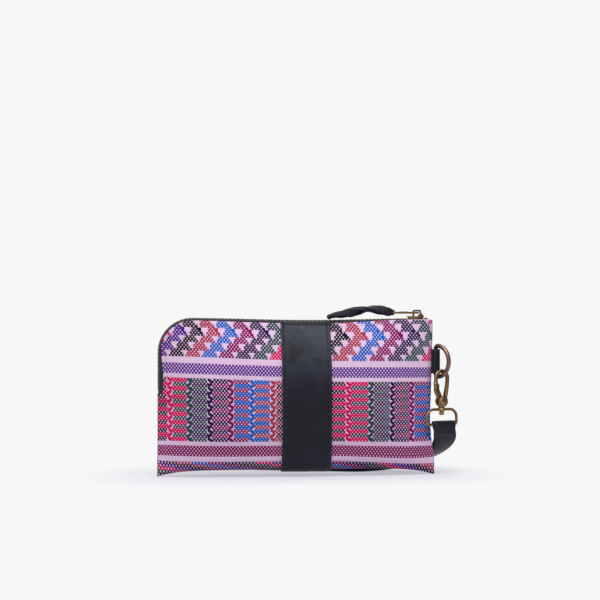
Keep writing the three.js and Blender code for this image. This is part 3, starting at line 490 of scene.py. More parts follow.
def woven_cloth():
    """Brocade: rows of dyed weft floats on a lavender ground, by formula from the cloth's own
    coordinates (u along the rows from the band, v across them)."""
    g = Graph("woven_brocade")
    u, v, _ = g.attribute("cloth")
    u = u + (g.noise(60.0) - 0.5) * 0.5
    v = v + (g.noise(40.0) - 0.5) * 0.7
    up = v - PATTERN_FOOT
    column = g.floor(u / WARP)
    row = g.floor(up / WEFT)
    du = g.abs(g.fract(u / WARP) - 0.5) * 2.0
    dv = g.abs(g.fract(up / WEFT) - 0.5) * 2.0
    odd = (column + row) % 2.0 > 0.5
    uc = (column + 0.5) * WARP
    vc = (row + 0.5) * WEFT + PATTERN_FOOT
    zone = row % REPEAT
    right = u > 0.0
    left = 1.0 - right
    under = (row < UNDER_ROWS[1]) * (row > UNDER_ROWS[0])

    def by_side(at_left, at_right):
        """A measure that differs left and right of the band."""
        return left * at_left + right * at_right

    def inside(value, low, high):
        return (value > low - 0.5) * (value < high - 0.5)

    blocks, violet_band, chevrons, maroon_band = [
        inside(zone, *rows) for rows in (BLOCK_ROWS, VIOLET_ROWS, CHEVRON_ROWS, MAROON_ROWS)
    ]

    rise = zone - (CHEVRON_ROWS[0] - 0.5)
    upper = (rise - TIP_TIER * TIER_ROWS) / UPPER_TIER_ROWS + TIP_TIER
    level = g.low(rise / TIER_ROWS, upper)
    tier = g.floor(level)
    share_up = level - tier
    pitch = by_side(12.5, 13.9)
    tip = by_side(-24.6, 89.4) + under * 5.5
    edge = uc - tip + g.abs(tier - TIP_TIER) * TIER_STEP
    number = g.ceil(edge / pitch)
    width = by_side(12.1, 12.9)
    local = edge - number * pitch + width
    from_left = local - share_up * LEFT_SLOPE
    right_slope = (tier > TIP_TIER - 0.5) * 0.8 + RIGHT_SLOPE
    from_right = width - right_slope * share_up - local
    in_arm = (from_left > 0.0) * (from_right > 0.0)
    spine = in_arm * (from_right < SPINE) * inside(level, 3.8, 4.9) * (1.0 - under)

    # Under the base the chevrons are pulled out into slanting lines
    slant = g.floor((uc + (vc - 13.0) * by_side(6.9, 5.0) + by_side(124.9, -61.5)) / 11.8)
    in_arm = g.high(under, in_arm)
    chevron_dye = under * ((slant + 40.0) % 8.0) + (1.0 - under) * ((number + 5.0) % 8.0)

    # Blocks: columns of alternate bars between the zigzag lines
    block_pitch = by_side(15.5, 16.75)
    first = by_side(-102.5, 31.2)
    steps = (uc - first) / block_pitch
    line_number = g.floor(steps)
    across = (steps - line_number) * block_pitch
    bar = 1.0 - g.floor(row / 2.0) % 2.0
    bar_left = bar * (across > BAR_NEAR) * (across < block_pitch - LEFT_BAR_FAR)
    bar_right = (1.0 - bar) * (across > RIGHT_BAR_FAR) * (across < block_pitch - BAR_NEAR)
    exact = (u - first) / block_pitch
    nearest = g.floor(exact + 0.5)
    swing = (g.abs(g.fract(up / (WEFT * 4.0)) - 0.5) - 0.25) * ZIGZAG_SWING
    off_line = g.abs((exact - nearest) * block_pitch - swing)
    leaf = g.abs(g.fract(up / (WEFT * 2.0)) - 0.5) * 2.0
    zigzag = off_line < ZIGZAG_WIDTH - leaf * leaf * ZIGZAG_PINCH

    def block_dye(k):
        return 7.0 - (k % 7.0)

    bar_dye = block_dye(line_number + 1.0 - bar)
    block_dyes = zigzag * block_dye(nearest) + (1.0 - zigzag) * bar_dye

    # Which dye, and how much of the cells between the floats it covers
    dye = blocks * block_dyes + chevrons * chevron_dye + maroon_band * MAROON
    bars = blocks * (bar_left + bar_right)
    shown = g.high(g.high(bars, chevrons * in_arm), g.high(violet_band, maroon_band))
    solid = g.high(blocks * zigzag, chevrons * spine)
    bright_bar = blocks * ((dye > 6.5) + inside(dye, 3, 4))
    gap_size = (
        0.66 - bright_bar * 0.34 - chevrons * 0.18 + violet_band * 0.06 - under * 0.16
        + under * chevrons * by_side(0.3, 0.12) - blocks * 0.06
    )
    gap = odd * g.ramp(du * du + dv * dv, gap_size + 0.3, gap_size - 0.25)
    strength = g.high(shown * (1.0 - gap), solid)

    # Threads: fine weft yarns in the floats, a plain weave in the ground
    yarn = g.sine(v * (2 * math.pi / WEFT_YARN))
    weave = yarn * g.sine(u * (2 * math.pi / WARP_YARN))
    fibre = g.noise(900.0, 3.0, 0.6)
    tone = g.mix(g.ramp(weave, -1, 1), "#dab9d8", "#f8e0f4")
    tone = g.mix(g.ramp(fibre, 0.3, 0.7) * 0.35, tone, "#c49cc6")
    tone = g.mix(g.ramp(g.noise(30.0, 3.0), 0.35, 0.7) * 0.35, tone, "#e0bde6")
    colour = g.palette((dye + 0.5) / len(DYES), DYES)
    colour = g.mix(g.ramp(yarn, -0.2, 1.0) * 0.05, colour, "#b488b4")
    colour = g.mix(g.ramp(fibre, 0.5, 0.8) * 0.3, colour, "#0a0810")
    height = strength * (0.75 + 0.25 * yarn) + (1.0 - strength) * (0.25 + 0.2 * weave)
    return g.finish(
        Base_Color=g.mix(strength, tone, colour), Roughness=0.95 - strength * 0.15,
        Normal=g.bump(height + fibre * 0.15, 0.00009, 0.7), Specular_IOR_Level=0.06,
    )


def leather(name, dark, light, wear_and_edge_sheen, painted_highlight=0.0):
    """Grained leather; the last argument is how strongly a painted highlight lightens its upper
    part, under the top of the pouch.
    """
    g = Graph(name)
    grain = g.cells(900.0, "DISTANCE_TO_EDGE")
    pores = g.cells(520.0)
    broad = g.noise(28.0, 4.0, 0.6)
    fine = g.noise(300.0, 3.0, 0.6)
    creases = g.node(
        "ShaderNodeTexWave", settings={"wave_type": "BANDS", "bands_direction": "DIAGONAL"},
        Vector=g.place(), Scale=14.0, Distortion=9.0, Detail=3.0, Detail_Scale=2.0,
    )
    tone = g.mix(g.ramp(broad, 0.3, 0.72), dark, light)
    tone = g.mix(g.ramp(fine, 0.55, 0.8) * 0.25, tone, wear_and_edge_sheen)
    z = g.split(g.place())[2]
    # Painted highlight: the upper part, below the top of the pouch, is lightened towards #585b68
    # as if lit from above
    painted_highlight_zone = g.ramp(z, 0.062, 0.1) * g.ramp(z, 0.1145, 0.111) * g.ramp(broad, 0.25, 0.65)
    tone = g.mix(painted_highlight_zone * painted_highlight, tone, "#585b68")
    # Painted sheen: convex edges are lightened towards the worn tone, which also marks random wear
    # spots above
    tone = g.mix(g.ramp(g.pointiness(), 0.515, 0.56) * 0.35, tone, wear_and_edge_sheen)
    height = g.ramp(grain, 0.0, 0.12) * 0.5 + pores * 0.35 + fine * 0.3
    normal = g.bump(height, 0.00016, 0.6)
    normal = g.bump(creases * 0.5 + broad, 0.0009, 0.3, under=normal)
    return g.finish(
        Base_Color=tone, Roughness=g.blend(g.ramp(broad, 0.3, 0.7), 0.42, 0.33), Normal=normal,
        Specular_IOR_Level=0.24,
    )


def aged_brass(name, bright, body_tone, dark):
    g = Graph(name)
    cloud = g.noise(160.0, 4.0, 0.65)
    speck = g.noise(900.0, 3.0, 0.7)
    point = g.pointiness()
    tone = g.mix(g.ramp(cloud, 0.32, 0.68), dark, body_tone)
    tone = g.mix(g.ramp(point, 0.5, 0.58) * 0.7, tone, bright)
    tone = g.mix(g.ramp(point, 0.49, 0.42) * 0.7, tone, "#2a2018")
    tone = g.mix(g.ramp(speck, 0.6, 0.75) * 0.4, tone, "#3a2c1c")
    drawn = g.node("ShaderNodeMapping", Vector=g.place(), Scale=(1.0, 1.0, 0.12))
    scratches = g.noise(1800.0, 2.0, 0.6, at=drawn)
    normal = g.bump(speck * 0.6 + scratches * 0.3 + cloud, 0.00012, 0.35)
    return g.finish(
        Base_Color=tone, Metallic=0.92, Roughness=g.blend(g.ramp(cloud, 0.3, 0.7), 0.46, 0.3),
        Normal=normal,
    )


def zip_cloth():
    g = Graph("zip_cloth_twill")
    x, y, z = g.split(g.place())
    twill = g.sine((x + z) * 9000.0 + y * 14000.0)
    fibre = g.noise(1500.0)
    tone = g.mix(g.ramp(twill, -1, 1) * 0.6 + fibre * 0.3, "#100e15", "#28242f")
    normal = g.bump(twill * 0.6 + fibre, 0.00012, 0.6)
    return g.finish(Base_Color=tone, Roughness=0.85, Normal=normal, Sheen_Weight=0.3)


def lining_cotton():
    g = Graph("lining_cotton_plain")
    x, _, z = g.split(g.place())
    weave = g.sine(x * 9000.0) * g.sine(z * 9000.0)
    fibre = g.noise(1200.0, 3.0)
    tone = g.mix(g.ramp(weave, -1, 1) * 0.5 + fibre * 0.3, "#6f6570", "#a49aa2")
    normal = g.bump(weave + fibre, 0.0001, 0.5)
    return g.finish(Base_Color=tone, Roughness=0.92, Normal=normal, Sheen_Weight=0.2)


def thread(name, dark, light):
    g = Graph(name)
    x, y, z = g.split(g.place())
    ply = g.sine((x + y + z) * 16000.0)
    tone = g.mix(g.ramp(ply, -1, 1), dark, light)
    normal = g.bump(ply, 0.00008, 0.6)
    return g.finish(Base_Color=tone, Roughness=0.7, Normal=normal, Sheen_Weight=0.2)


def spring_wire():
    g = Graph("spring_wire_steel")
    streak = g.noise(2400.0)
    tone = g.mix(g.ramp(streak, 0.3, 0.7), "#77777c", "#a3a3a8")
    normal = g.bump(streak, 0.00004, 0.4)
    return g.finish(
        Base_Color=tone, Metallic=1.0, Roughness=g.blend(streak, 0.25, 0.45), Normal=normal
    )


CLOTH = woven_cloth()
BAND_LEATHER = leather("band_leather_navy", "#090b15", "#141729", "#343748", painted_highlight=0.45)
STRAP_LEATHER = leather("strap_leather_navy", "#0f111c", "#1a1d2f", "#3c4055")
BRASS = aged_brass("antique_brass", "#d0a878", "#876848", "#4a3828")
RING_BRASS = aged_brass("ring_brass", "#bfa08a", "#75594c", "#42322e")
PULL_BRASS = aged_brass("pull_brass_dark", "#b8946a", "#604a36", "#2a2019")
ZIP_BRASS = aged_brass("zip_brass_dark", "#7c6546", "#43362a", "#221b18")
ZIP_CLOTH = zip_cloth()
LINING = lining_cotton()
DARK_THREAD = thread("dark_thread", "#15161e", "#3b3d4a")
SEAM_THREAD = thread("seam_thread", "#2e2a40", "#5c5470")
SPRING = spring_wire()


# ---------------------------------------------------------------- pouch form
def ramp(t):
    t = np.clip(t, 0, 1)
    return t * t * (3 - 2 * t)


def roll(t):
    rest = 1 - np.clip(t, 0, 1)
    return (1 - rest * rest) ** ROLL_POWER


def outline_top(x):
    past = np.maximum(CORNER_X - np.asarray(x, float), 0)
    return HEIGHT - (CORNER - np.sqrt(np.maximum(CORNER**2 - past**2, 0)))


def half_thickness(x, z):
    """Half the thickness of the stuffed pouch at a point of its front view."""
    x, z = np.asarray(x, float), np.asarray(z, float)
    side = roll((HALF_WIDTH - np.abs(x)) / SIDE_ROLL) ** SIDE_PINCH
    from_top = roll((outline_top(x) - z) / TOP_ROLL)
    from_base = np.sin(np.pi / 2 * np.minimum(z / BELLY, 1))
    body = BULGE * side * from_top * (BASE_FULLNESS + (1 - BASE_FULLNESS) * from_base)
    at_seam = ramp((z - ZIP_END_Z + 10) / 12)
    up_the_side = at_seam + (ramp(z / HEIGHT * 1.1) - at_seam) * ramp((x + HALF_WIDTH) / 45)
    along_zip = ramp((HALF_WIDTH - x) / (ZIP_MARGIN + 2)) * up_the_side
    rim = SEAM_HALF + (RIM_HALF - SEAM_HALF) * along_zip
    return np.hypot(body, rim)


def dip(x):
    """How far the top edge hangs below its straight line."""
    x = np.asarray(x, float)
    return SAG * np.exp(-(((x - SAG_X) / SAG_SPREAD) ** 2)) - RISE * (HALF_WIDTH - x)


def arch(x, z):
    """How far the base and the cloth near it have risen."""
    whole = ARCH * (1 - np.minimum(np.abs(np.asarray(x, float)) / 104, 1) ** 7)
    return whole * (1 - ramp(z / ARCH_FADE))


def settled(x, z):
    """Height after the top edge has sunk and the base has arched."""
    return z - dip(x) * z / HEIGHT + arch(x, z)


def fold_inset(x, z):
    """How far the folded edge of the cloth stays below the top of the teeth."""
    along = 1.5 + 1.6 * ramp((88 - x) / 70) - 0.5 * ramp((-30 - x) / 45)
    return along + 2.0 * ramp((100 - z) / 26)


def wrinkle(x, z, side):
    """Soft unevenness of the stuffed cloth, along Y."""
    broad = noise.noise(Vector((x / 26, z / 22, 3.1 * side)))
    small = noise.noise(Vector((x / 9, z / 11, 7.7 + side)))
    puckers = math.sin(z / 2.6 + 1.7 * noise.noise(Vector((x / 12, z / 9, 2 * side))))
    from_side = min(HALF_WIDTH - abs(x), 30)
    near_seam = math.exp(-from_side / 7)
    calm = ramp(min(from_side, z + 4, float(outline_top(x)) - z) / 14)
    low = ramp((78 - z) / 20)
    return float((0.75 * broad + 0.22 * small) * calm + 0.28 * puckers * near_seam * low)


def surface_y(x, z, side):
    """Y of the pouch's skin in front view, away from its seams."""
    return side * (float(half_thickness(x, z)) + wrinkle(x, z, side))


def row_of_columns(count):
    """Shares of a row, closer together at its ends."""
    i = np.linspace(0, 1, count)
    even = 0.25 * (0.5 - 0.5 * np.cos(np.pi * i)) + 0.75 * i
    ends = np.array([0.0, 0.0012, 0.0034, 0.0065])
    return np.concatenate([ends, even[1:-1] * 0.98 + 0.01, 1 - ends[::-1]])


def left_edge(z):
    """Where the cloth ends at the left, and how far it is open there."""
    seam = -HALF_WIDTH - 1.3 * np.exp(-z / 8)
    open_ = ramp((z - ZIP_END_Z - 1.0) / 2.4)
    return seam + fold_inset(-100, z) * open_, open_


def right_edge(z):
    """Where the cloth ends at the right: it swells at the foot and narrows over it."""
    swell = 1.5 * math.exp(-(((z - 13) / 8) ** 2)) - 0.8 * math.exp(-(((z - 43) / 15) ** 2))
    waist = 1.1 * math.sin(math.pi * min(z / 105, 1))
    return HALF_WIDTH + 0.35 - waist + 1.6 * math.exp(-z / 7) + swell


ROW_STEP = 2.0
CORNER_ROWS, BASE_ROWS = 22, 9  # round the corner, and in one turn under the base


def side_rows(shares, coarse):
    """Rows of one side from the base up: (x, z, share that is closed at the left)."""
    up = []
    by_the_zip_end = [ZIP_END_Z + d for d in (1.1, 1.8, 2.5, 3.2)]
    for z in sorted([*np.arange(TURN_UNDER, CORNER_Z, ROW_STEP * coarse), *by_the_zip_end]):
        left, open_ = left_edge(z)
        x = left + (right_edge(z) - left) * shares
        up.append((x, np.full(len(shares), float(z)), 1 - open_))
    near_corner = -HALF_WIDTH + 8
    for angle in np.radians(np.linspace(0, 90, max(int(CORNER_ROWS / coarse), 8))):
        level = CORNER_Z + 20 * math.sin(angle)
        radius = CORNER - fold_inset(near_corner, level)
        left = CORNER_X - radius * math.cos(angle)
        x = left + (right_edge(level) - left) * shares
        inset = np.where(x < CORNER_X, fold_inset(near_corner, HEIGHT), fold_inset(x, HEIGHT))
        z = CORNER_Z + (HEIGHT - inset - CORNER_Z) * math.sin(angle)
        z[0] = CORNER_Z + radius * math.sin(angle)
        up.append((x, z, 0.0))
    return up


def skin_rows(columns, coarse=1.0, inset=0.0):
    """Rows of the skin from its front top edge, down and under the base, up to the back top
    edge, each with x, y, z and the cloth's coordinates u, v at every column, and its side."""

    def thickness(x, z, closed):
        half = np.maximum(half_thickness(x, z) - inset, 0.4)
        left, right = rounding(x - x[0], SIDE_EDGE), rounding(x[-1] - x, SIDE_EDGE)
        return half * right * (closed * left + 1 - closed)

    def along(x, y):
        run = distances(np.stack([x, y], 1))
        return run - np.interp(BAND_X, x, run)

    up = side_rows(row_of_columns(columns), coarse)
    front, back = [], []
    for side, rows in ((-1, front), (1, back)):
        for x, z, closed in up:
            y = thickness(x, z, closed)
            bumps = np.array([wrinkle(a, b, side) for a, b in zip(x, z)]) if not inset else 0
            # The pattern's rows stay level over the arch, tilt a little and sag at the right
            tilt = (1.25 + 0.0208 * x) * ramp((z - 27) / 50)
            sag = 2.8 * ramp((x - 20) / 85) * (1 - ramp((z - 8) / 42))
            v = z + arch(x, z) + tilt + sag
            rows.append([x, side * (y + bumps * (y > 0.5)), z, along(x, y), v, side])

    # Under the base: an elliptic turn down from each side, and a flat part between them
    x, y_front, _, u, v, _ = front[0]
    y_back = back[0][1]
    count = max(int(BASE_ROWS / coarse), 4)
    angles = np.radians(np.linspace(90 / count, 90, count))

    def turned(y, angle):
        level = np.full(len(x), TURN_UNDER * (1 - math.sin(angle)))
        return [x, y * (0.5 + 0.5 * math.cos(angle)), level]

    low = [turned(y_front, angle) for angle in angles]
    for share in np.linspace(0.75, -0.75, 6):
        mix = (1 - share) / 2
        low.append([x, y_front * 0.5 * (1 - mix) + y_back * 0.5 * mix, np.full(len(x), 0.0)])
    low += [turned(y_back, angle) for angle in angles[::-1]]
    y_before, z_before = y_front, np.full(len(x), TURN_UNDER)
    for row in low:
        _, y, z = row
        v = v - DRAWN_OUT * np.hypot(y - y_before, z - z_before)
        y_before, z_before = y, z
        row.extend([u, v, 0])
    v_back = v - np.hypot(y_back - y_before, TURN_UNDER - z_before)
    for row in back:
        row[4] = v_back - (row[2] - TURN_UNDER)
    return [*front[::-1], *low, *back]


FOLD_RADIUS = 0.75
# Lines of the folded edge, each so many radii out of the pouch and in towards its middle
FOLD = ((0.5, 0.12), (0.8, 0.5), (0.75, 1.0), (0.3, 1.35), (-2.5, 1.5), (-5, 1.6))


def shell(name, columns, coarse=1.0, inset=0.0, fold=True):
    rows = skin_rows(columns, coarse, inset)
    points, cloth = [], []
    for x, y, z, u, v, _ in rows:
        points.extend(np.stack([x, y, settled(x, np.maximum(z, inset))], 1))
        cloth.extend(np.stack([u, v, np.zeros(len(u))], 1))
    count, size = len(rows), len(rows[0][0])
    faces = grid_faces(count, size)
    # The edge along the zip is folded in: a half round and a flap that goes down inside
    for side in (-1, 1) if fold else ():
        own = [i for i, r in enumerate(rows) if r[5] == side]
        order = own[::-1] if side < 0 else own  # from the base up
        edge = [i * size for i in order if rows[i][2][0] > ZIP_END_Z + 2]
        edge += [order[-1] * size + c for c in range(1, size - 3)]
        spots = np.array([points[i] for i in edge])
        ahead = directions(spots[:, [0, 2]])
        last = edge
        for out_by, in_by in FOLD:
            ring = list(range(len(points), len(points) + len(edge)))
            for (x, y, z), (ax, az), old in zip(spots, ahead, edge):
                inward = min(in_by * FOLD_RADIUS * 1.2, max(abs(y) - 0.3, 0.2))
                out = out_by * FOLD_RADIUS
                points.append([x - az * out, y - math.copysign(inward, y), z + ax * out])
                cloth.append(list(np.array(cloth[old]) + [0, out + in_by, 0]))
            faces.extend(
                (last[i], last[i + 1], ring[i + 1], ring[i]) for i in range(len(edge) - 1)
            )
            last = ring
    mesh = mesh_from(name, points, faces)
    attribute = mesh.attributes.new("cloth", "FLOAT_VECTOR", "POINT")
    attribute.data.foreach_set("vector", np.asarray(cloth, np.float32).ravel())
    return outward(mesh, merge=True)


pouch = link("pouch_cloth", shell("pouch_cloth", 150), "pouch", CLOTH)
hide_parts("outer_fabric")

pocket = link(
    "pocket_lining", shell("pocket_lining", 60, coarse=2.5, inset=2.6, fold=False), "pouch",
    LINING,
)
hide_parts("lining")


# ---------------------------------------------------------------- zip
TOP_RUN = 2 * HALF_WIDTH - ZIP_MARGIN - CORNER
ZIP_LENGTH = TOP_RUN + (CORNER - CHAIN_INSET) * math.pi / 2 + (CORNER_Z - ZIP_END_Z)


def zip_place(s, inset):
    """Place on the zip's line and the direction into the pouch, both (x, z)."""
    radius = CORNER - inset
    bend = radius * math.pi / 2
    if s <= TOP_RUN:
        x, z, into = HALF_WIDTH - ZIP_MARGIN - s, HEIGHT - inset, (0.0, -1.0)
    elif s <= TOP_RUN + bend:
        turn = (s - TOP_RUN) / radius
        into = (math.sin(turn), -math.cos(turn))
        x = CORNER_X - into[0] * radius
        z = CORNER_Z - into[1] * radius
    else:
        x, z, into = -HALF_WIDTH + inset, CORNER_Z - (s - TOP_RUN - bend), (1.0, 0.0)
    return np.array([x, float(settled(x, z))]), np.array(into)


TOOTH_LENGTH, TOOTH_DEPTH, TOOTH_HEIGHT = 1.25, 3.9, 2.4  # along the zip, across, up
TOOTH_OUT = 1.05  # from the zip's middle to the tooth's
TOOTH_HEAD = 0.86  # height of its head, as a share
TOOTH_EDGE = 0.3
FIRST_TOOTH, TEETH_END = 5.2, 4.0  # from the zip's two ends


def tooth_shape():
    """One metal tooth, rounded, with a narrower head: along, across, through."""
    shape = bmesh.new()
    bmesh.ops.create_cube(shape, size=1.0)
    for vert in shape.verts:
        x, y, z = vert.co
        vert.co = (x * TOOTH_LENGTH, y * TOOTH_DEPTH + TOOTH_OUT, z * TOOTH_HEIGHT)
        if vert.co.y < 0:
            vert.co.z *= TOOTH_HEAD
    bmesh.ops.bevel(
        shape, geom=shape.edges[:] + shape.verts[:], offset=TOOTH_EDGE, segments=2, profile=0.6,
        affect="EDGES",
    )
    points = np.array([v.co[:] for v in shape.verts])
    faces = [[v.index for v in f.verts] for f in shape.faces]
    shape.free()
    return points, faces


def teeth(side):
    shape, faces = tooth_shape()
    points, all_faces = [], []
    first = FIRST_TOOTH + (TOOTH_PITCH / 2 if side > 0 else 0)
    for s in np.arange(first, ZIP_LENGTH - TEETH_END, TOOTH_PITCH):
        spot, into = zip_place(s, CHAIN_INSET)
        ahead = np.array([into[1], -into[0]])
        start = len(points)
        for a, y, n in shape:
            place = spot + ahead * a + into * n
            points.append((place[0], y * side, place[1]))
        all_faces.extend([[i + start for i in f] for f in faces])
    return outward(mesh_from("teeth", points, all_faces))


def zip_strip(name, section, side, step=2.0):
    """Sweeps a closed (y, inwards) outline along the zip's line."""
    rings = []
    for s in np.linspace(0.3, ZIP_LENGTH - 0.3, int(ZIP_LENGTH / step)):
        spot, into = zip_place(s, CHAIN_INSET)
        places = [(y, spot + into * n) for y, n in section]
        rings.append([(place[0], y * side, place[1]) for y, place in places])
    return sweep(name, rings)


TAPE_SECTION = [
    (3.0, -0.3), (4.4, -0.35), (5.4, -0.2), (6.0, 0.6), (6.0, 4.0), (5.9, 7.0),
    (5.3, 7.0), (5.4, 4.0), (5.35, 0.9), (5.0, 0.35), (4.4, 0.3), (3.0, 0.3),
]
CORD_SECTION = [
    (2.5 + 0.62 * math.cos(a), 0.66 * math.sin(a)) for a in np.linspace(0, 2 * math.pi, 11)[:-1]
]
for label, side in SIDES:
    tape = zip_strip("tape", TAPE_SECTION, side)
    tape_piece = link(f"zip_cloth_{label}", tape, "pouch", ZIP_CLOTH)
    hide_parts(f"zip_tape_{label}")
    row = link(f"zip_chain_{label}", teeth(side), "pouch", ZIP_BRASS)
    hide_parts(f"zip_teeth_{label}")
    cord = zip_strip("cord", CORD_SECTION, side)
    link(f"zip_cord_{label}", cord, "pouch", ZIP_CLOTH)


# ---------------------------------------------------------------- stitching
STITCH_SIDES = 6
STITCH = (  # share of the length, width and height of the thread
    (0.0, 0.25, -0.9), (0.12, 0.8, -0.1), (0.35, 1.0, 0.35),
    (0.65, 1.0, 0.35), (0.88, 0.8, -0.1), (1.0, 0.25, -0.9),
)


def stitches(name, line, lift, length, space, radius, body, material):
    """Sewn stitches along a line of points; lift gives the way out of the material at each."""
    line = np.asarray(line, float)
    lift = np.asarray(lift, float)
    run = distances(line)
    pitch = length + space
    points, faces = [], []
    for k in range(int(run[-1] / pitch)):
        start = len(points)
        for share, wide, high in STITCH:
            s = k * pitch + space / 2 + share * length
            at = at_distance(s, run, line)
            up = at_distance(s, run, lift)
            up /= np.linalg.norm(up)
            ahead = at_distance(s + 0.2, run, line) - at
            if np.linalg.norm(ahead) < 1e-6:
                ahead = line[-1] - line[-2]
            ahead /= np.linalg.norm(ahead)
            across = np.cross(ahead, up)
            for j in range(STITCH_SIDES):
                a = j * 2 * math.pi / STITCH_SIDES
                points.append(
                    at + up * (high * radius + math.sin(a) * radius * wide * 0.8)
                    + across * math.cos(a) * radius * wide
                )
        faces.extend(grid_faces(len(STITCH), STITCH_SIDES, start, close_cols=True))
        last = len(points) - 1
        faces += [range(start, start + STITCH_SIDES), range(last, last - STITCH_SIDES, -1)]
    return link(name, outward(mesh_from(name, points, faces)), body, material)


def seam_level(s, inset):
    """Height of the seam beside the zip, at s along the zip, before the cloth settles."""
    past = s - TOP_RUN - CORNER * math.pi / 2
    if s <= TOP_RUN:
        return HEIGHT - inset
    if past <= 0:
        return CORNER_Z + math.cos((s - TOP_RUN) / CORNER) * (CORNER - inset)
    return CORNER_Z - past


for label, side in SIDES:
    line, lift = [], []
    for s in np.linspace(2, ZIP_LENGTH - 1, 260):
        (x, z), into = zip_place(s, 0)
        inset = float(fold_inset(x if s < TOP_RUN else -95.0, z)) + 2.2
        x = x + into[0] * inset
        z = seam_level(s, inset)
        line.append((x, surface_y(x, z, side), float(settled(x, z))))
        slope_x = float(half_thickness(x + 0.5, z)) - float(half_thickness(x - 0.5, z))
        slope_z = float(half_thickness(x, z + 0.5)) - float(half_thickness(x, z - 0.5))
        lift.append((-slope_x, side, -slope_z))
    stitches(f"zip_stitching_{label}", line, lift, 2.1, 0.9, 0.2, "pouch", SEAM_THREAD)


# ---------------------------------------------------------------- leather band
def band_line():
    """The band's inner line in the YZ plane, from its front end to its back end."""
    line = []
    for side in (-1, 1):
        part = []
        for z in np.linspace(HEIGHT - 1.0, TURN_UNDER, 44):
            part.append((side * (float(half_thickness(BAND_X, z)) + BAND_GAP), z))
        half = float(half_thickness(BAND_X, TURN_UNDER))
        for angle in np.radians(np.linspace(8, 90, 11)):
            part.append((
                side * (half * (0.5 + 0.5 * math.cos(angle)) + BAND_GAP * math.cos(angle)),
                TURN_UNDER * (1 - math.sin(angle)) - BAND_GAP * math.sin(angle),
            ))
        line.append(part)
    base = [(y, -BAND_GAP) for y in np.linspace(line[0][-1][0], line[1][-1][0], 9)[1:-1]]
    return np.array([*line[0], *base, *line[1][::-1]])


def band_x(across, s):
    """X of a place on the band, which isn't cut quite straight."""
    return BAND_X - BAND_WIDTH / 2 + across + 0.5 * math.sin(s / 60)


band_flat = resampled(band_line(), 1.6)
band_ahead = directions(band_flat)
band_out = np.stack([band_ahead[:, 1], -band_ahead[:, 0]], 1)
if band_out[len(band_out) // 2][1] > 0:
    band_out = -band_out
band_run = distances(band_flat)


def band():
    """A strip with rounded edges, a groove at each row of stitches and turned ends."""
    half_columns = [0, 0.08, 0.35, 0.9, 1.5, 1.9, 2.2, 2.5, 2.9, 4.5, 8, 13, 18.5]
    columns = np.array(half_columns)
    columns = np.concatenate([columns, BAND_WIDTH - columns[:-1][::-1]])
    lifts = []
    for c in columns:
        d = min(c, BAND_WIDTH - c)
        groove = 0.55 * math.exp(-(((d - BAND_SEAM) / 0.5) ** 2))
        lifts.append((BAND_THICKNESS - 0.35) * rounding(d, 0.9) + 0.35 - groove)
    rings = []
    for (y, z), (oy, oz), s in zip(band_flat, band_out, band_run):
        from_end = min(s, band_run[-1] - s)
        end = 0.25 + 0.75 * rounding(from_end, 0.9)
        hem = 0.6 * (1 - float(ramp((from_end - 2.2) / 1.2)))
        seam = 0.6 * math.exp(-(((from_end - 3.4) / 0.8) ** 2))
        ring = []
        for c, lift in zip(columns, lifts):
            wave = 0.25 * noise.noise(Vector((c / 14, s / 18, 5.0)))
            rise = (lift + hem - seam + wave * min(c, BAND_WIDTH - c, 4) / 4) * end
            ring.append((band_x(c, s), y + oy * rise, z + oz * rise))
        ring += [(band_x(c, s), y, z) for c in columns[::-1]]
        rings.append([(x, y, float(settled(x, z))) for x, y, z in ring])
    return sweep("band", rings)


band_piece = link("leather_strap_band", band(), "pouch", BAND_LEATHER)
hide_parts("leather_band")


def sew_band(name, places):
    """A row of stitches through places, each x, (y, z), the way out (y, z) and its height."""
    line = [
        (x, y + oy * up, float(settled(x, z + oz * up))) for x, (y, z), (oy, oz), up in places
    ]
    lift = [(0, oy, oz) for _, _, (oy, oz), _ in places]
    stitches(name, line, lift, 2.4, 0.9, 0.22, "pouch", DARK_THREAD)


for label, offset in (("left", BAND_SEAM), ("right", BAND_WIDTH - BAND_SEAM)):
    sew_band(f"band_stitching_{label}", [
        (band_x(offset, s), spot, out, SEAM_LEVEL)
        for spot, out, s in zip(band_flat, band_out, band_run)
        if min(s, band_run[-1] - s) >= SEAM_FROM_END
    ])
for label, s in (("front", HEM_SEAM), ("back", band_run[-1] - HEM_SEAM)):
    spot, out = [at_distance(s, band_run, values) for values in (band_flat, band_out)]
    half = BAND_WIDTH / 2 - 2.6
    sew_band(f"band_hem_stitching_{label}", [
        (x, spot, out, HEM_LEVEL) for x in np.linspace(BAND_X - half, BAND_X + half, 30)
    ])


# ---------------------------------------------------------------- slider and pull
PLATE_LEVEL = 1.45
PLATE_TOP = 2.45
BRIDGE = 4.8  # height of the slider's bridge over its upper plate
slider_low, slider_high = [np.array(c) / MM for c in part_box("zip_slider")]
SLIDER_AT = ((slider_low[0] + slider_high[0]) / 2, 0.0, slider_high[2] - PLATE_TOP - BRIDGE)
SLIDER = shift(*SLIDER_AT) @ Matrix.Rotation(math.atan(RISE), 4, "Y")
TAB_THICKNESS = 1.5
BRIDGE_WIRE = 1.2
# The tab hangs on the bridge by its end, which reaches a little past the pivot's axis
PIVOT = (1.4, 0.0, PLATE_TOP + BRIDGE - BRIDGE_WIRE - PLAY - TAB_THICKNESS / 2)
PULL = SLIDER @ shift(*PIVOT)
TAB_START, TAB_LENGTH, TAB_HALF = 0.65, 20, 2.9
TAB_END = TAB_START - TAB_LENGTH


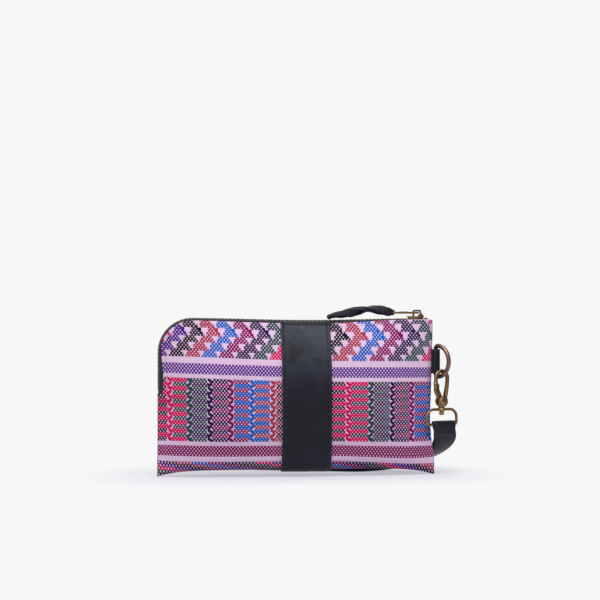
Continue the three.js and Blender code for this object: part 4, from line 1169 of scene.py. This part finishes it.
def slider():
    half, nose = 6.2, 3.9
    outline = [
        (-half + 1, -nose), *bezier([(half - 2, -4.5), (half, -4.5), (half, -2.5)], 8)[:, :2],
        (half - 1, 0), *bezier([(half, 2.5), (half, 4.5), (half - 2, 4.5)], 8)[:, :2],
        *bezier([(-half + 1, nose), (-half, nose), (-half, nose - 1)], 6)[:, :2],
        *bezier([(-half, -nose + 1), (-half, -nose), (-half + 1, -nose)], 6)[:-1, :2],
    ]
    parts = []
    for level in (PLATE_LEVEL + 0.5, -PLATE_LEVEL - 0.7):
        parts.append(moved(plate(outline, 1.0, 0.22), shift(z=level)))
    for y in (-3.6, 3.6):
        for z in (-1.2, 1.2):
            side = [(-5.2, -0.3), (5.2, -0.3), (5.2, 0.3), (-5.2, 0.3)]
            parts.append(moved(plate(side, 1.5, 0.12), shift(y=y, z=z)))
    post = [(4.85, -0.8), (4.85, 0.8), (4.65, 0.8), (4.65, -0.8)]
    parts.append(plate(post, 3.2, 0.03))
    crown = [(1.5, -0.4), (half - 0.3, -0.4), (half - 0.6, 0.35), (4.2, 2.2), (2.6, 2.6)]
    parts.append(moved(plate(crown, 3.4, 0.3), UPRIGHT, shift(0.4, 0, PLATE_TOP)))
    outer, top = 3.2, BRIDGE
    inner, under = outer - BRIDGE_WIRE, top - BRIDGE_WIRE
    bridge = [
        (-outer, -0.4), *bezier([(-outer, 3.2), (-outer, top), (-outer + 1.6, top)], 8),
        *bezier([(outer - 1.6, top), (outer, top), (outer, 3.2)], 8), (outer, -0.4),
        (inner, -0.4), *bezier([(inner, 3.0), (inner, under), (inner - 0.6, under)], 5),
        *bezier([(-inner + 0.6, under), (-inner, under), (-inner, 3.0)], 5), (-inner, -0.4),
    ]
    parts.append(moved(plate(bridge, 2.6, 0.32), UPRIGHT, shift(0.9, 0, PLATE_TOP)))
    return moved(joined("slider", parts), SLIDER)


slider_piece = link("zip_slider_cast", slider(), "slider", PULL_BRASS)
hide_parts("zip_slider")


def pull_tab():
    window = rounded_rectangle(-5.45, -1.6, -TAB_START, 1.6, 0.7)[::-1]
    hole = rounded_rectangle(TAB_END + 1.5, -1.8, TAB_END + 4.5, 1.8, 0.9)[::-1]
    outline = rounded_rectangle(TAB_END, -TAB_HALF, TAB_START, TAB_HALF, 1.6)
    sheet = plate(outline, TAB_THICKNESS, 0.3, [window, hole])
    rib = plate(rounded_rectangle(-13.6, -1.5, -7.2, 1.5, 1.2), 0.5, 0.2)
    return moved(joined("tab", [sheet, moved(rib, shift(z=TAB_THICKNESS / 2 - 0.03))]), PULL)


tab_piece = link("pull_tab_cast", pull_tab(), "tab", PULL_BRASS)
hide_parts("pull_tab")


def thong_ply(index):
    """One of two flat strips of leather that are twisted round each other."""
    start = TAB_END - 0.6
    route = smooth_route([
        (start + 2.4, 0, 0.0), (start - 1.5, 0, 0.6), (start - 6, -0.2, 1.4),
        (start - 14, -0.4, 2.6), (start - 22, -0.8, 2.0), (start - 30, -1.6, 0.2),
        (start - 38, -3.6, -1.2), (start - 45, -6.8, -2.2), (start - 49, -8.9, -3.4),
    ], 96)
    run = distances(route)
    run /= run[-1]
    rings = []
    sign = 1 if index else -1
    for at, way, t in zip(route, directions(route), run):
        side = np.array([0, 1, 0]) - way * way[1]
        side /= np.linalg.norm(side)
        up = np.cross(way, side)
        taper = 1 - 0.5 * float(ramp((t - 0.6) / 0.4)) - 0.45 * float(ramp((0.1 - t) / 0.1))
        turn = 1.25 * math.pi * float(ramp(t / 0.9)) + math.pi / 2
        half_wide = 3.3 * taper * (1 + 0.08 * math.sin(t * 31 + index * 2))
        half_thick = 1.0 * (0.5 + 0.5 * taper)
        ring = []
        for a, b in rounded_section(2 * half_wide, 2 * half_thick, half_thick * 0.85, 3, 4):
            curl = 0.35 * (a / max(half_wide, 0.1)) ** 2
            b = b + sign * (half_thick + 0.04 - curl * 0.6)
            y = a * math.cos(turn) - b * math.sin(turn)
            z = a * math.sin(turn) + b * math.cos(turn)
            ring.append(at + side * y + up * z)
        rings.append(ring)
    return sweep("ply", rings)


thong_piece = link(
    "pull_thong_leather", moved(joined("thong", [thong_ply(0), thong_ply(1)]), PULL), "thong",
    STRAP_LEATHER,
)
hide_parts("pull_thong")


# ---------------------------------------------------------------- ring in the seam
RING_AT = (106.2, 0.0, 85.2)
RING_WIRE_HALF = 1.65


def d_ring():
    corner, straight, deep = 2.4, 9.25, 11.1
    line = chain(
        [(0, z) for z in np.linspace(straight, -straight, 8)],
        arc(corner, -straight, corner, 180, 270, 8),
        arc(corner, 0, deep, -90, 90, 40, ry=straight + corner),
        arc(corner, straight, corner, 90, 180, 8)[:-1],
    )
    mesh = planar_sweep("ring", line, lambda t: round_section(RING_WIRE_HALF, 20), True)
    return moved(mesh, frame_matrix(RING_AT, -54))


ring_piece = link("d_ring_wire", d_ring(), "ring", RING_BRASS)
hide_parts("d_ring")


def ring_tab():
    """A folded leather loop, its two ends sewn into the seam."""
    width, thickness = 18.4, 1.4
    curve = arc(0, 0, RING_WIRE_HALF + PLAY + thickness / 2, -118, 118, 24)
    line = np.array([(-3.4, -1.25), (-2.4, -1.75), *curve, (-2.4, 1.75), (-3.4, 1.25)])
    section = rounded_section(width, thickness, 0.45, 3, 6)
    rings = []
    for (x, y), (ax, ay) in zip(line, directions(line)):
        rings.append([(x - ay * b, y + ax * b, a) for a, b in section])
    return moved(sweep("loop", rings), frame_matrix(RING_AT, 0))


loop_piece = link("ring_loop_leather", ring_tab(), "pouch", STRAP_LEATHER)
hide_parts("ring_tab")


# ---------------------------------------------------------------- snap hook
HOOK_AT = (109.844, -5.016, 55.095)
HOOK = frame_matrix(HOOK_AT, 25)
GATE_PIVOT = (-0.8, 0.0, 0.4)
GATE = HOOK @ shift(*GATE_PIVOT)
BAIL, BAIL_Z = 5.25, 17.65  # radius and centre of the hook's bend
BAIL_WIRE_HALF = 1.5
NOSE_Z = 12.75
NOSE_REACH = NOSE_Z - GATE_PIVOT[2]  # of the nose's end, from the gate's pivot


def hook_body():
    back = [(BAIL, BAIL_Z), (BAIL, BAIL_Z - 6), (BAIL * 0.75, BAIL_Z - 10), (2.75, 0.8)]
    line = chain(
        [(-BAIL, z) for z in np.linspace(NOSE_Z, BAIL_Z, 8)],
        arc(0, BAIL_Z, BAIL, 180, 0, 28), bezier(back, 26),
    )

    def section(t):
        end = rounding(t, 0.03, 0.05)
        deep = (BAIL_WIRE_HALF + 0.75 * float(ramp((t - 0.6) / 0.3))) * end
        return round_section(BAIL_WIRE_HALF * end, 20, deep)

    def on_circle(x):
        """Height of the nose's end, round the gate's pivot."""
        return GATE_PIVOT[2] + math.sqrt(NOSE_REACH**2 - (x - GATE_PIVOT[0]) ** 2)

    parts = [planar_sweep("wire", line, section, False)]
    edge = [(x, on_circle(x)) for x in np.linspace(-BAIL - 1.35, -BAIL + 1.35, 6)]
    nose = [(-BAIL - 1.4, 14.4), *edge, (-BAIL + 1.4, 14.4)]
    parts.append(moved(plate(nose, 2.7, 0.4), UPRIGHT))
    for y in (-2.15, 2.15):
        parts.append(moved(plate(disc(4.1, 40), 1.3, 0.35), UPRIGHT, shift(y=y)))
    parts.append(moved(plate(arc(0, 0, 3.9, 200, 340, 24), 4.0, 0.2), UPRIGHT))
    web = [(1.6, -1.5), (3.6, -1.2), (4.0, 1.5), (3.7, 4.5), (2.4, 3.5)]
    parts.append(moved(plate(web, 3.6, 0.4), UPRIGHT))
    parts.append(lathe("shank", [
        (0.02, -1.2), (3.0, -1.4), (3.0, -3.4), (2.5, -4.0), (2.3, -4.3), (1.1, -4.35),
        (1.1, -7.9), (1.35, -8.0), (1.8, -8.35), (1.95, -8.9), (1.95, -9.7), (1.6, -10.15),
        (0.9, -10.3), (0.02, -10.3),
    ]))
    return moved(joined("hook", parts), HOOK)


hook_piece = link("snap_hook_cast", hook_body(), "hook", BRASS)
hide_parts("hook_body")


def hook_gate():
    reach = NOSE_REACH - PLAY
    nose_x = -BAIL - GATE_PIVOT[0]
    outside = nose_x - 1.2
    inside = nose_x + BAIL_WIRE_HALF + PLAY
    middle = (outside + inside) / 2

    def on_circle(x):
        return math.sqrt(reach * reach - x * x)

    outline = [
        (-2.6, 0.6), (outside, on_circle(outside) - 3), (outside, on_circle(outside)),
        (middle, on_circle(middle)), (inside, on_circle(inside)), (inside, reach + 0.9),
        (inside + 0.8, reach + 0.6), (inside + 0.6, reach - 3), (1.5, 1.5),
    ]
    blade = plate(outline, 2.4, 0.3, resolution=4)
    root = plate(disc(2.7, 32), 2.4, 0.4)
    return moved(joined("gate", [moved(blade, UPRIGHT), moved(root, UPRIGHT)]), GATE)


gate_piece = link("gate_lever_cast", hook_gate(), "gate", BRASS)
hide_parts("hook_gate")

RIVET_END = [
    (0.02, 4.1), (1.2, 4.08), (2.1, 3.95), (2.6, 3.7), (2.82, 3.35), (2.82, 3.15), (1.1, 3.1),
]
rivet_profile = [(r, -z) for r, z in RIVET_END] + RIVET_END[::-1]
rivet_mesh = moved(lathe("rivet", rivet_profile), UPRIGHT, GATE)
rivet_piece = link("gate_rivet_pin", rivet_mesh, "hook", BRASS)
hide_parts("gate_rivet")

# Swivel eye, from the shank's level down to the bar that the strap hangs on
EYE_HALF, EYE_TOP, EYE_BAR = 13.2, -6.0, -17.4
EYE_WIRE_HALF = 1.05
EYE_TURN = 22


def swivel_eye():
    half, top, low, big, small = EYE_HALF, EYE_TOP, EYE_BAR, 6, 1.7
    line = chain(
        [(x, top) for x in np.linspace(-half + big, half - big, 10)],
        arc(half - big, top - big, big, 90, 0, 12),
        [(half, z) for z in np.linspace(top - big, low + small, 4)],
        arc(half - small, low + small, small, 0, -90, 7),
        [(x, low) for x in np.linspace(half - small, -half + small, 12)],
        arc(-half + small, low + small, small, -90, -180, 7),
        [(-half, z) for z in np.linspace(low + small, top - big, 4)],
        arc(-half + big, top - big, big, 180, 90, 12)[:-1],
    )
    wire = planar_sweep("eye", line, lambda t: round_section(EYE_WIRE_HALF, 18), True)
    collar = lathe("collar", [
        (1.45, -7.6), (2.2, -7.6), (2.8, -7.2), (3.0, -6.6), (3.0, -5.4), (2.8, -4.8),
        (2.2, -4.4), (1.45, -4.4),
    ])
    return moved(joined("eye", [wire, collar]), frame_matrix(HOOK_AT, EYE_TURN))


eye_piece = link("swivel_eye_wire", swivel_eye(), "eye", BRASS)
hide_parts("swivel_eye")


# ---------------------------------------------------------------- wrist strap
STRAP_WIDTH = 18.6
STRAP_PLY = 1.6
STRAP_FLAP = 8.5  # turned end in front of the bar
STRAP_RUN = 84.0  # length of the loop that lies behind the pouch
STRAP_NOSE = 7.5  # radius of its far end
EYE_ANGLE = math.radians(EYE_TURN)
HEADING = math.radians(163)
BAR = np.array([HOOK_AT[0], HOOK_AT[1], HOOK_AT[2] + EYE_BAR])
PLY_GAP = 0.4  # between plies of the strap
WRAP = EYE_WIRE_HALF + PLAY + STRAP_PLY / 2
LOW_PLY = STRAP_PLY + PLY_GAP - WRAP
OUTER_PLY = LOW_PLY + STRAP_PLY + PLY_GAP
AWAY = np.array([math.cos(HEADING), math.sin(HEADING), 0])
LANDING = np.array([50, 30, STRAP_PLY / 2 - LOW_PLY])
NECK_START = BAR + 1.8 * np.array([math.cos(EYE_ANGLE), math.sin(EYE_ANGLE), 0])
NECK = np.array([
    NECK_START,
    NECK_START + (-0.22, 0.56, -3.4),
    NECK_START + (17, 19, -23),
    LANDING - 48 * AWAY + (0, 0, 1.5),
    LANDING,
])


def neck_frame(t):
    at = bezier_point(NECK, t)
    ahead = bezier_point(NECK, t + 0.001) - bezier_point(NECK, t - 0.001)
    ahead /= np.linalg.norm(ahead)
    angle = EYE_ANGLE + (HEADING - math.pi / 2 - EYE_ANGLE) * float(ramp((t - 0.25) / 0.6))
    wide = np.array([math.cos(angle), math.sin(angle), 0])
    back = np.cross(wide, ahead)
    return at, ahead, wide, back / np.linalg.norm(back)


def strap_line():
    """The strap's middle line from its turned end round the bar, down the neck, round the
    loop and back up the neck, with the way across the strap at each point."""
    line, across = [], []

    def put(point, wide):
        line.append(point)
        across.append(wide)

    at, ahead, wide, back = neck_frame(0)
    for d in np.linspace(STRAP_FLAP, 0, 7):
        put(at - back * WRAP + ahead * d, wide)
    for turn in np.linspace(0, 1, 17)[1:-1] * math.pi:
        put(at - back * WRAP * math.cos(turn) - ahead * WRAP * math.sin(turn), wide)
    put(at + back * WRAP, wide)
    neck = np.linspace(0, 1, 49)[1:]
    for t in neck:
        at, ahead, wide, back = neck_frame(t)
        put(at + back * (WRAP + (OUTER_PLY - WRAP) * float(ramp((t - 0.12) / 0.2))), wide)

    top, ground = LANDING[2] + OUTER_PLY, LANDING[2] + LOW_PLY
    nose_top = ground + 2 * STRAP_NOSE
    nose_at = STRAP_RUN - STRAP_NOSE
    loop = list(bezier([
        (0, top), (STRAP_RUN * 0.35, top), (STRAP_RUN * 0.55, nose_top), (nose_at, nose_top),
    ], 36)[1:])
    for turn in np.linspace(0, 1, 20)[1:] * math.pi:
        a = nose_at + math.sin(turn) * STRAP_NOSE
        loop.append((a, nose_top - STRAP_NOSE + math.cos(turn) * STRAP_NOSE))
    loop += [(nose_at * (1 - t), ground) for t in np.linspace(0, 1, 16)[1:]]
    for a, height in loop:
        put(np.array([LANDING[0] + AWAY[0] * a, LANDING[1] + AWAY[1] * a, height]), wide)

    for t in neck[::-1][1:-6]:
        at, ahead, wide, back = neck_frame(t)
        put(at + back * LOW_PLY, wide)
    return np.array(line), np.array(across)


def strap():
    line, across = strap_line()
    normal = unit_rows(np.cross(across, directions(line)))
    run = distances(line)
    half_offsets = [9.3, 9.15, 8.7, 8.1, 7.75, 7.4, 6.8, 4.5]
    offsets = [*(-a for a in half_offsets), 0, *half_offsets[::-1]]
    rings = []
    for at, wide, out, s in zip(line, across, normal, run):
        end = rounding(min(s, run[-1] - s), 0.7, 0.12)
        upper, lower = [], []
        for a in offsets:
            d = STRAP_WIDTH / 2 - abs(a)
            crease = 0.2 * math.exp(-(((d - 1.55) / 0.3) ** 2))
            thick = STRAP_PLY / 2 * (0.35 + 0.65 * rounding(d, 0.6)) * end
            upper.append(at + wide * a + out * (thick - crease * end))
            lower.append(at + wide * a - out * (thick - crease * end))
        rings.append([*lower, *upper[::-1]])
    return sweep("strap", rings)


strap_piece = link("wrist_strap_leather", strap(), "strap", STRAP_LEATHER)
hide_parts("wrist_strap")

# ---------------------------------------------------------------- carried-over nodes
for node, material in (
    ("zip_top_stop_front", ZIP_BRASS), ("zip_top_stop_back", ZIP_BRASS),
    ("zip_bottom_stop", ZIP_BRASS), ("gate_spring", SPRING),
):
    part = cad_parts[node]
    part.data.materials.clear()
    part.data.materials.append(material)


# ---------------------------------------------------------------- floor, light and camera
BACKGROUND = "#f7f7f7"
SEEN_RAYS = ("Is Camera Ray", "Is Glossy Ray", "Is Transmission Ray")


def floor():
    """Pale near the object, where it takes the shadow, and as plain as the background
    farther off; other rays than the seen ones meet a grey floor."""
    g = Graph("pale_floor")
    x, y, _ = g.split(g.place())
    # How far a point lies outside the area that the pouch stands on, in metres
    aside = g.high(g.abs(x) - 0.1, 0.0)
    ahead = g.high(g.abs(y) - 0.02, 0.0)
    far = g.ramp(g.root(aside * aside + ahead * ahead), 0.004, 0.075)
    grey = g.node("ShaderNodeBsdfDiffuse", Color="#a8a6b0")
    pale = g.node("ShaderNodeBsdfDiffuse", Color="#a5a5a2")
    plain = g.node("ShaderNodeEmission", Color=BACKGROUND, Strength=1.0)
    lift = g.node("ShaderNodeEmission", Color="#f0eefd", Strength=0.5)
    lifted = g.filled("ShaderNodeAddShader", (pale, lift))
    path = g.nodes.new("ShaderNodeLightPath")
    camera_ray, glossy_ray, transmission_ray = [Wire(g, path.outputs[ray]) for ray in SEEN_RAYS]
    seen = g.high(g.high(camera_ray, glossy_ray), transmission_ray)
    near = g.mix_shaders(seen, grey, lifted)
    g.put(g.output.inputs[0], g.mix_shaders(far * seen, near, plain))
    size = 6000.0
    corners = [(-size, -size, 0), (size, -size, 0), (size, size, 0), (-size, size, 0)]
    mesh = mesh_from("floor", corners, [(0, 1, 2, 3)])
    return link("floor", mesh, None, g.material, smooth=False)


ground = floor()

world = bpy.data.worlds.new("studio")
scene.world = world
world.use_nodes = True
tree = world.node_tree
tree.nodes.clear()
out = tree.nodes.new("ShaderNodeOutputWorld")
mix = tree.nodes.new("ShaderNodeMixShader")
path = tree.nodes.new("ShaderNodeLightPath")
seen = tree.nodes.new("ShaderNodeBackground")
seen.inputs[0].default_value = linear(BACKGROUND)
fill = tree.nodes.new("ShaderNodeBackground")
fill.inputs[0].default_value = (1, 1, 1, 1)
fill.inputs[1].default_value = 0.55
shown = path.outputs[SEEN_RAYS[0]]
for ray in SEEN_RAYS[1:]:
    either = tree.nodes.new("ShaderNodeMath")
    either.operation = "MAXIMUM"
    tree.links.new(shown, either.inputs[0])
    tree.links.new(path.outputs[ray], either.inputs[1])
    shown = either.outputs[0]
tree.links.new(shown, mix.inputs[0])
tree.links.new(fill.outputs[0], mix.inputs[1])
tree.links.new(seen.outputs[0], mix.inputs[2])
tree.links.new(mix.outputs[0], out.inputs[0])


def card(name, places):
    """A photographer's black card: it shows only in what reflects, as a dark side."""
    g = Graph(name)
    g.finish(
        Base_Color=g.mix(g.noise(300.0), "#08080a", "#101014"), Roughness=0.95
    )
    made = link(name, mesh_from(name, places, [(0, 1, 2, 3)]), None, g.material, smooth=False)
    made.visible_camera = made.visible_diffuse = made.visible_shadow = False
    made.visible_transmission = False
    return made


card("black_card_right", [(450, -520, 0), (450, 150, 0), (450, 150, 600), (450, -520, 600)])
card("black_card_front", [
        (160, -1900, -50), (700, -1500, -50), (700, -1500, 500), (160, -1900, 500),
    ])


def lamp(name, place, target, size, power):
    data = bpy.data.lights.new(name, "AREA")
    data.shape = "RECTANGLE"
    data.size, data.size_y = size
    data.energy = power
    holder = bpy.data.objects.new(name, data)
    holder.location = place
    holder.rotation_euler = (Vector(target) - Vector(place)).to_track_quat("-Z", "Y").to_euler()
    scene.collection.objects.link(holder)


lamp("key", (-0.35, -1.0, 1.5), (0, 0, 0.06), (1.0, 1.0), 17.5)
lamp("fill", (1.2, -0.9, 1.0), (0, 0, 0.06), (1.0, 0.8), 4.5)
lamp("top", (0.0, 0.2, 1.6), (0, 0, 0.05), (1.2, 0.8), 4.0)

camera_data = bpy.data.cameras.new("camera")
CAMERA_DISTANCE, CAMERA_ASIDE, CAMERA_HEIGHT = 1.3, 0.00305, 0.1315  # in metres
camera_data.lens = 104.0
camera_data.sensor_width = 36.0
camera_data.clip_start, camera_data.clip_end = 0.05, 20
camera = bpy.data.objects.new("camera", camera_data)
scene.collection.objects.link(camera)
TURN = math.radians(-6)
toward = Vector((math.sin(TURN), -math.cos(TURN), 0))
sideways = Vector((math.cos(TURN), math.sin(TURN), 0))
camera.location = (
    toward * CAMERA_DISTANCE + sideways * CAMERA_ASIDE + Vector((0, 0, CAMERA_HEIGHT))
)
camera.rotation_euler = (math.radians(90), 0, TURN)
scene.camera = camera
scene.view_settings.view_transform = "Standard"
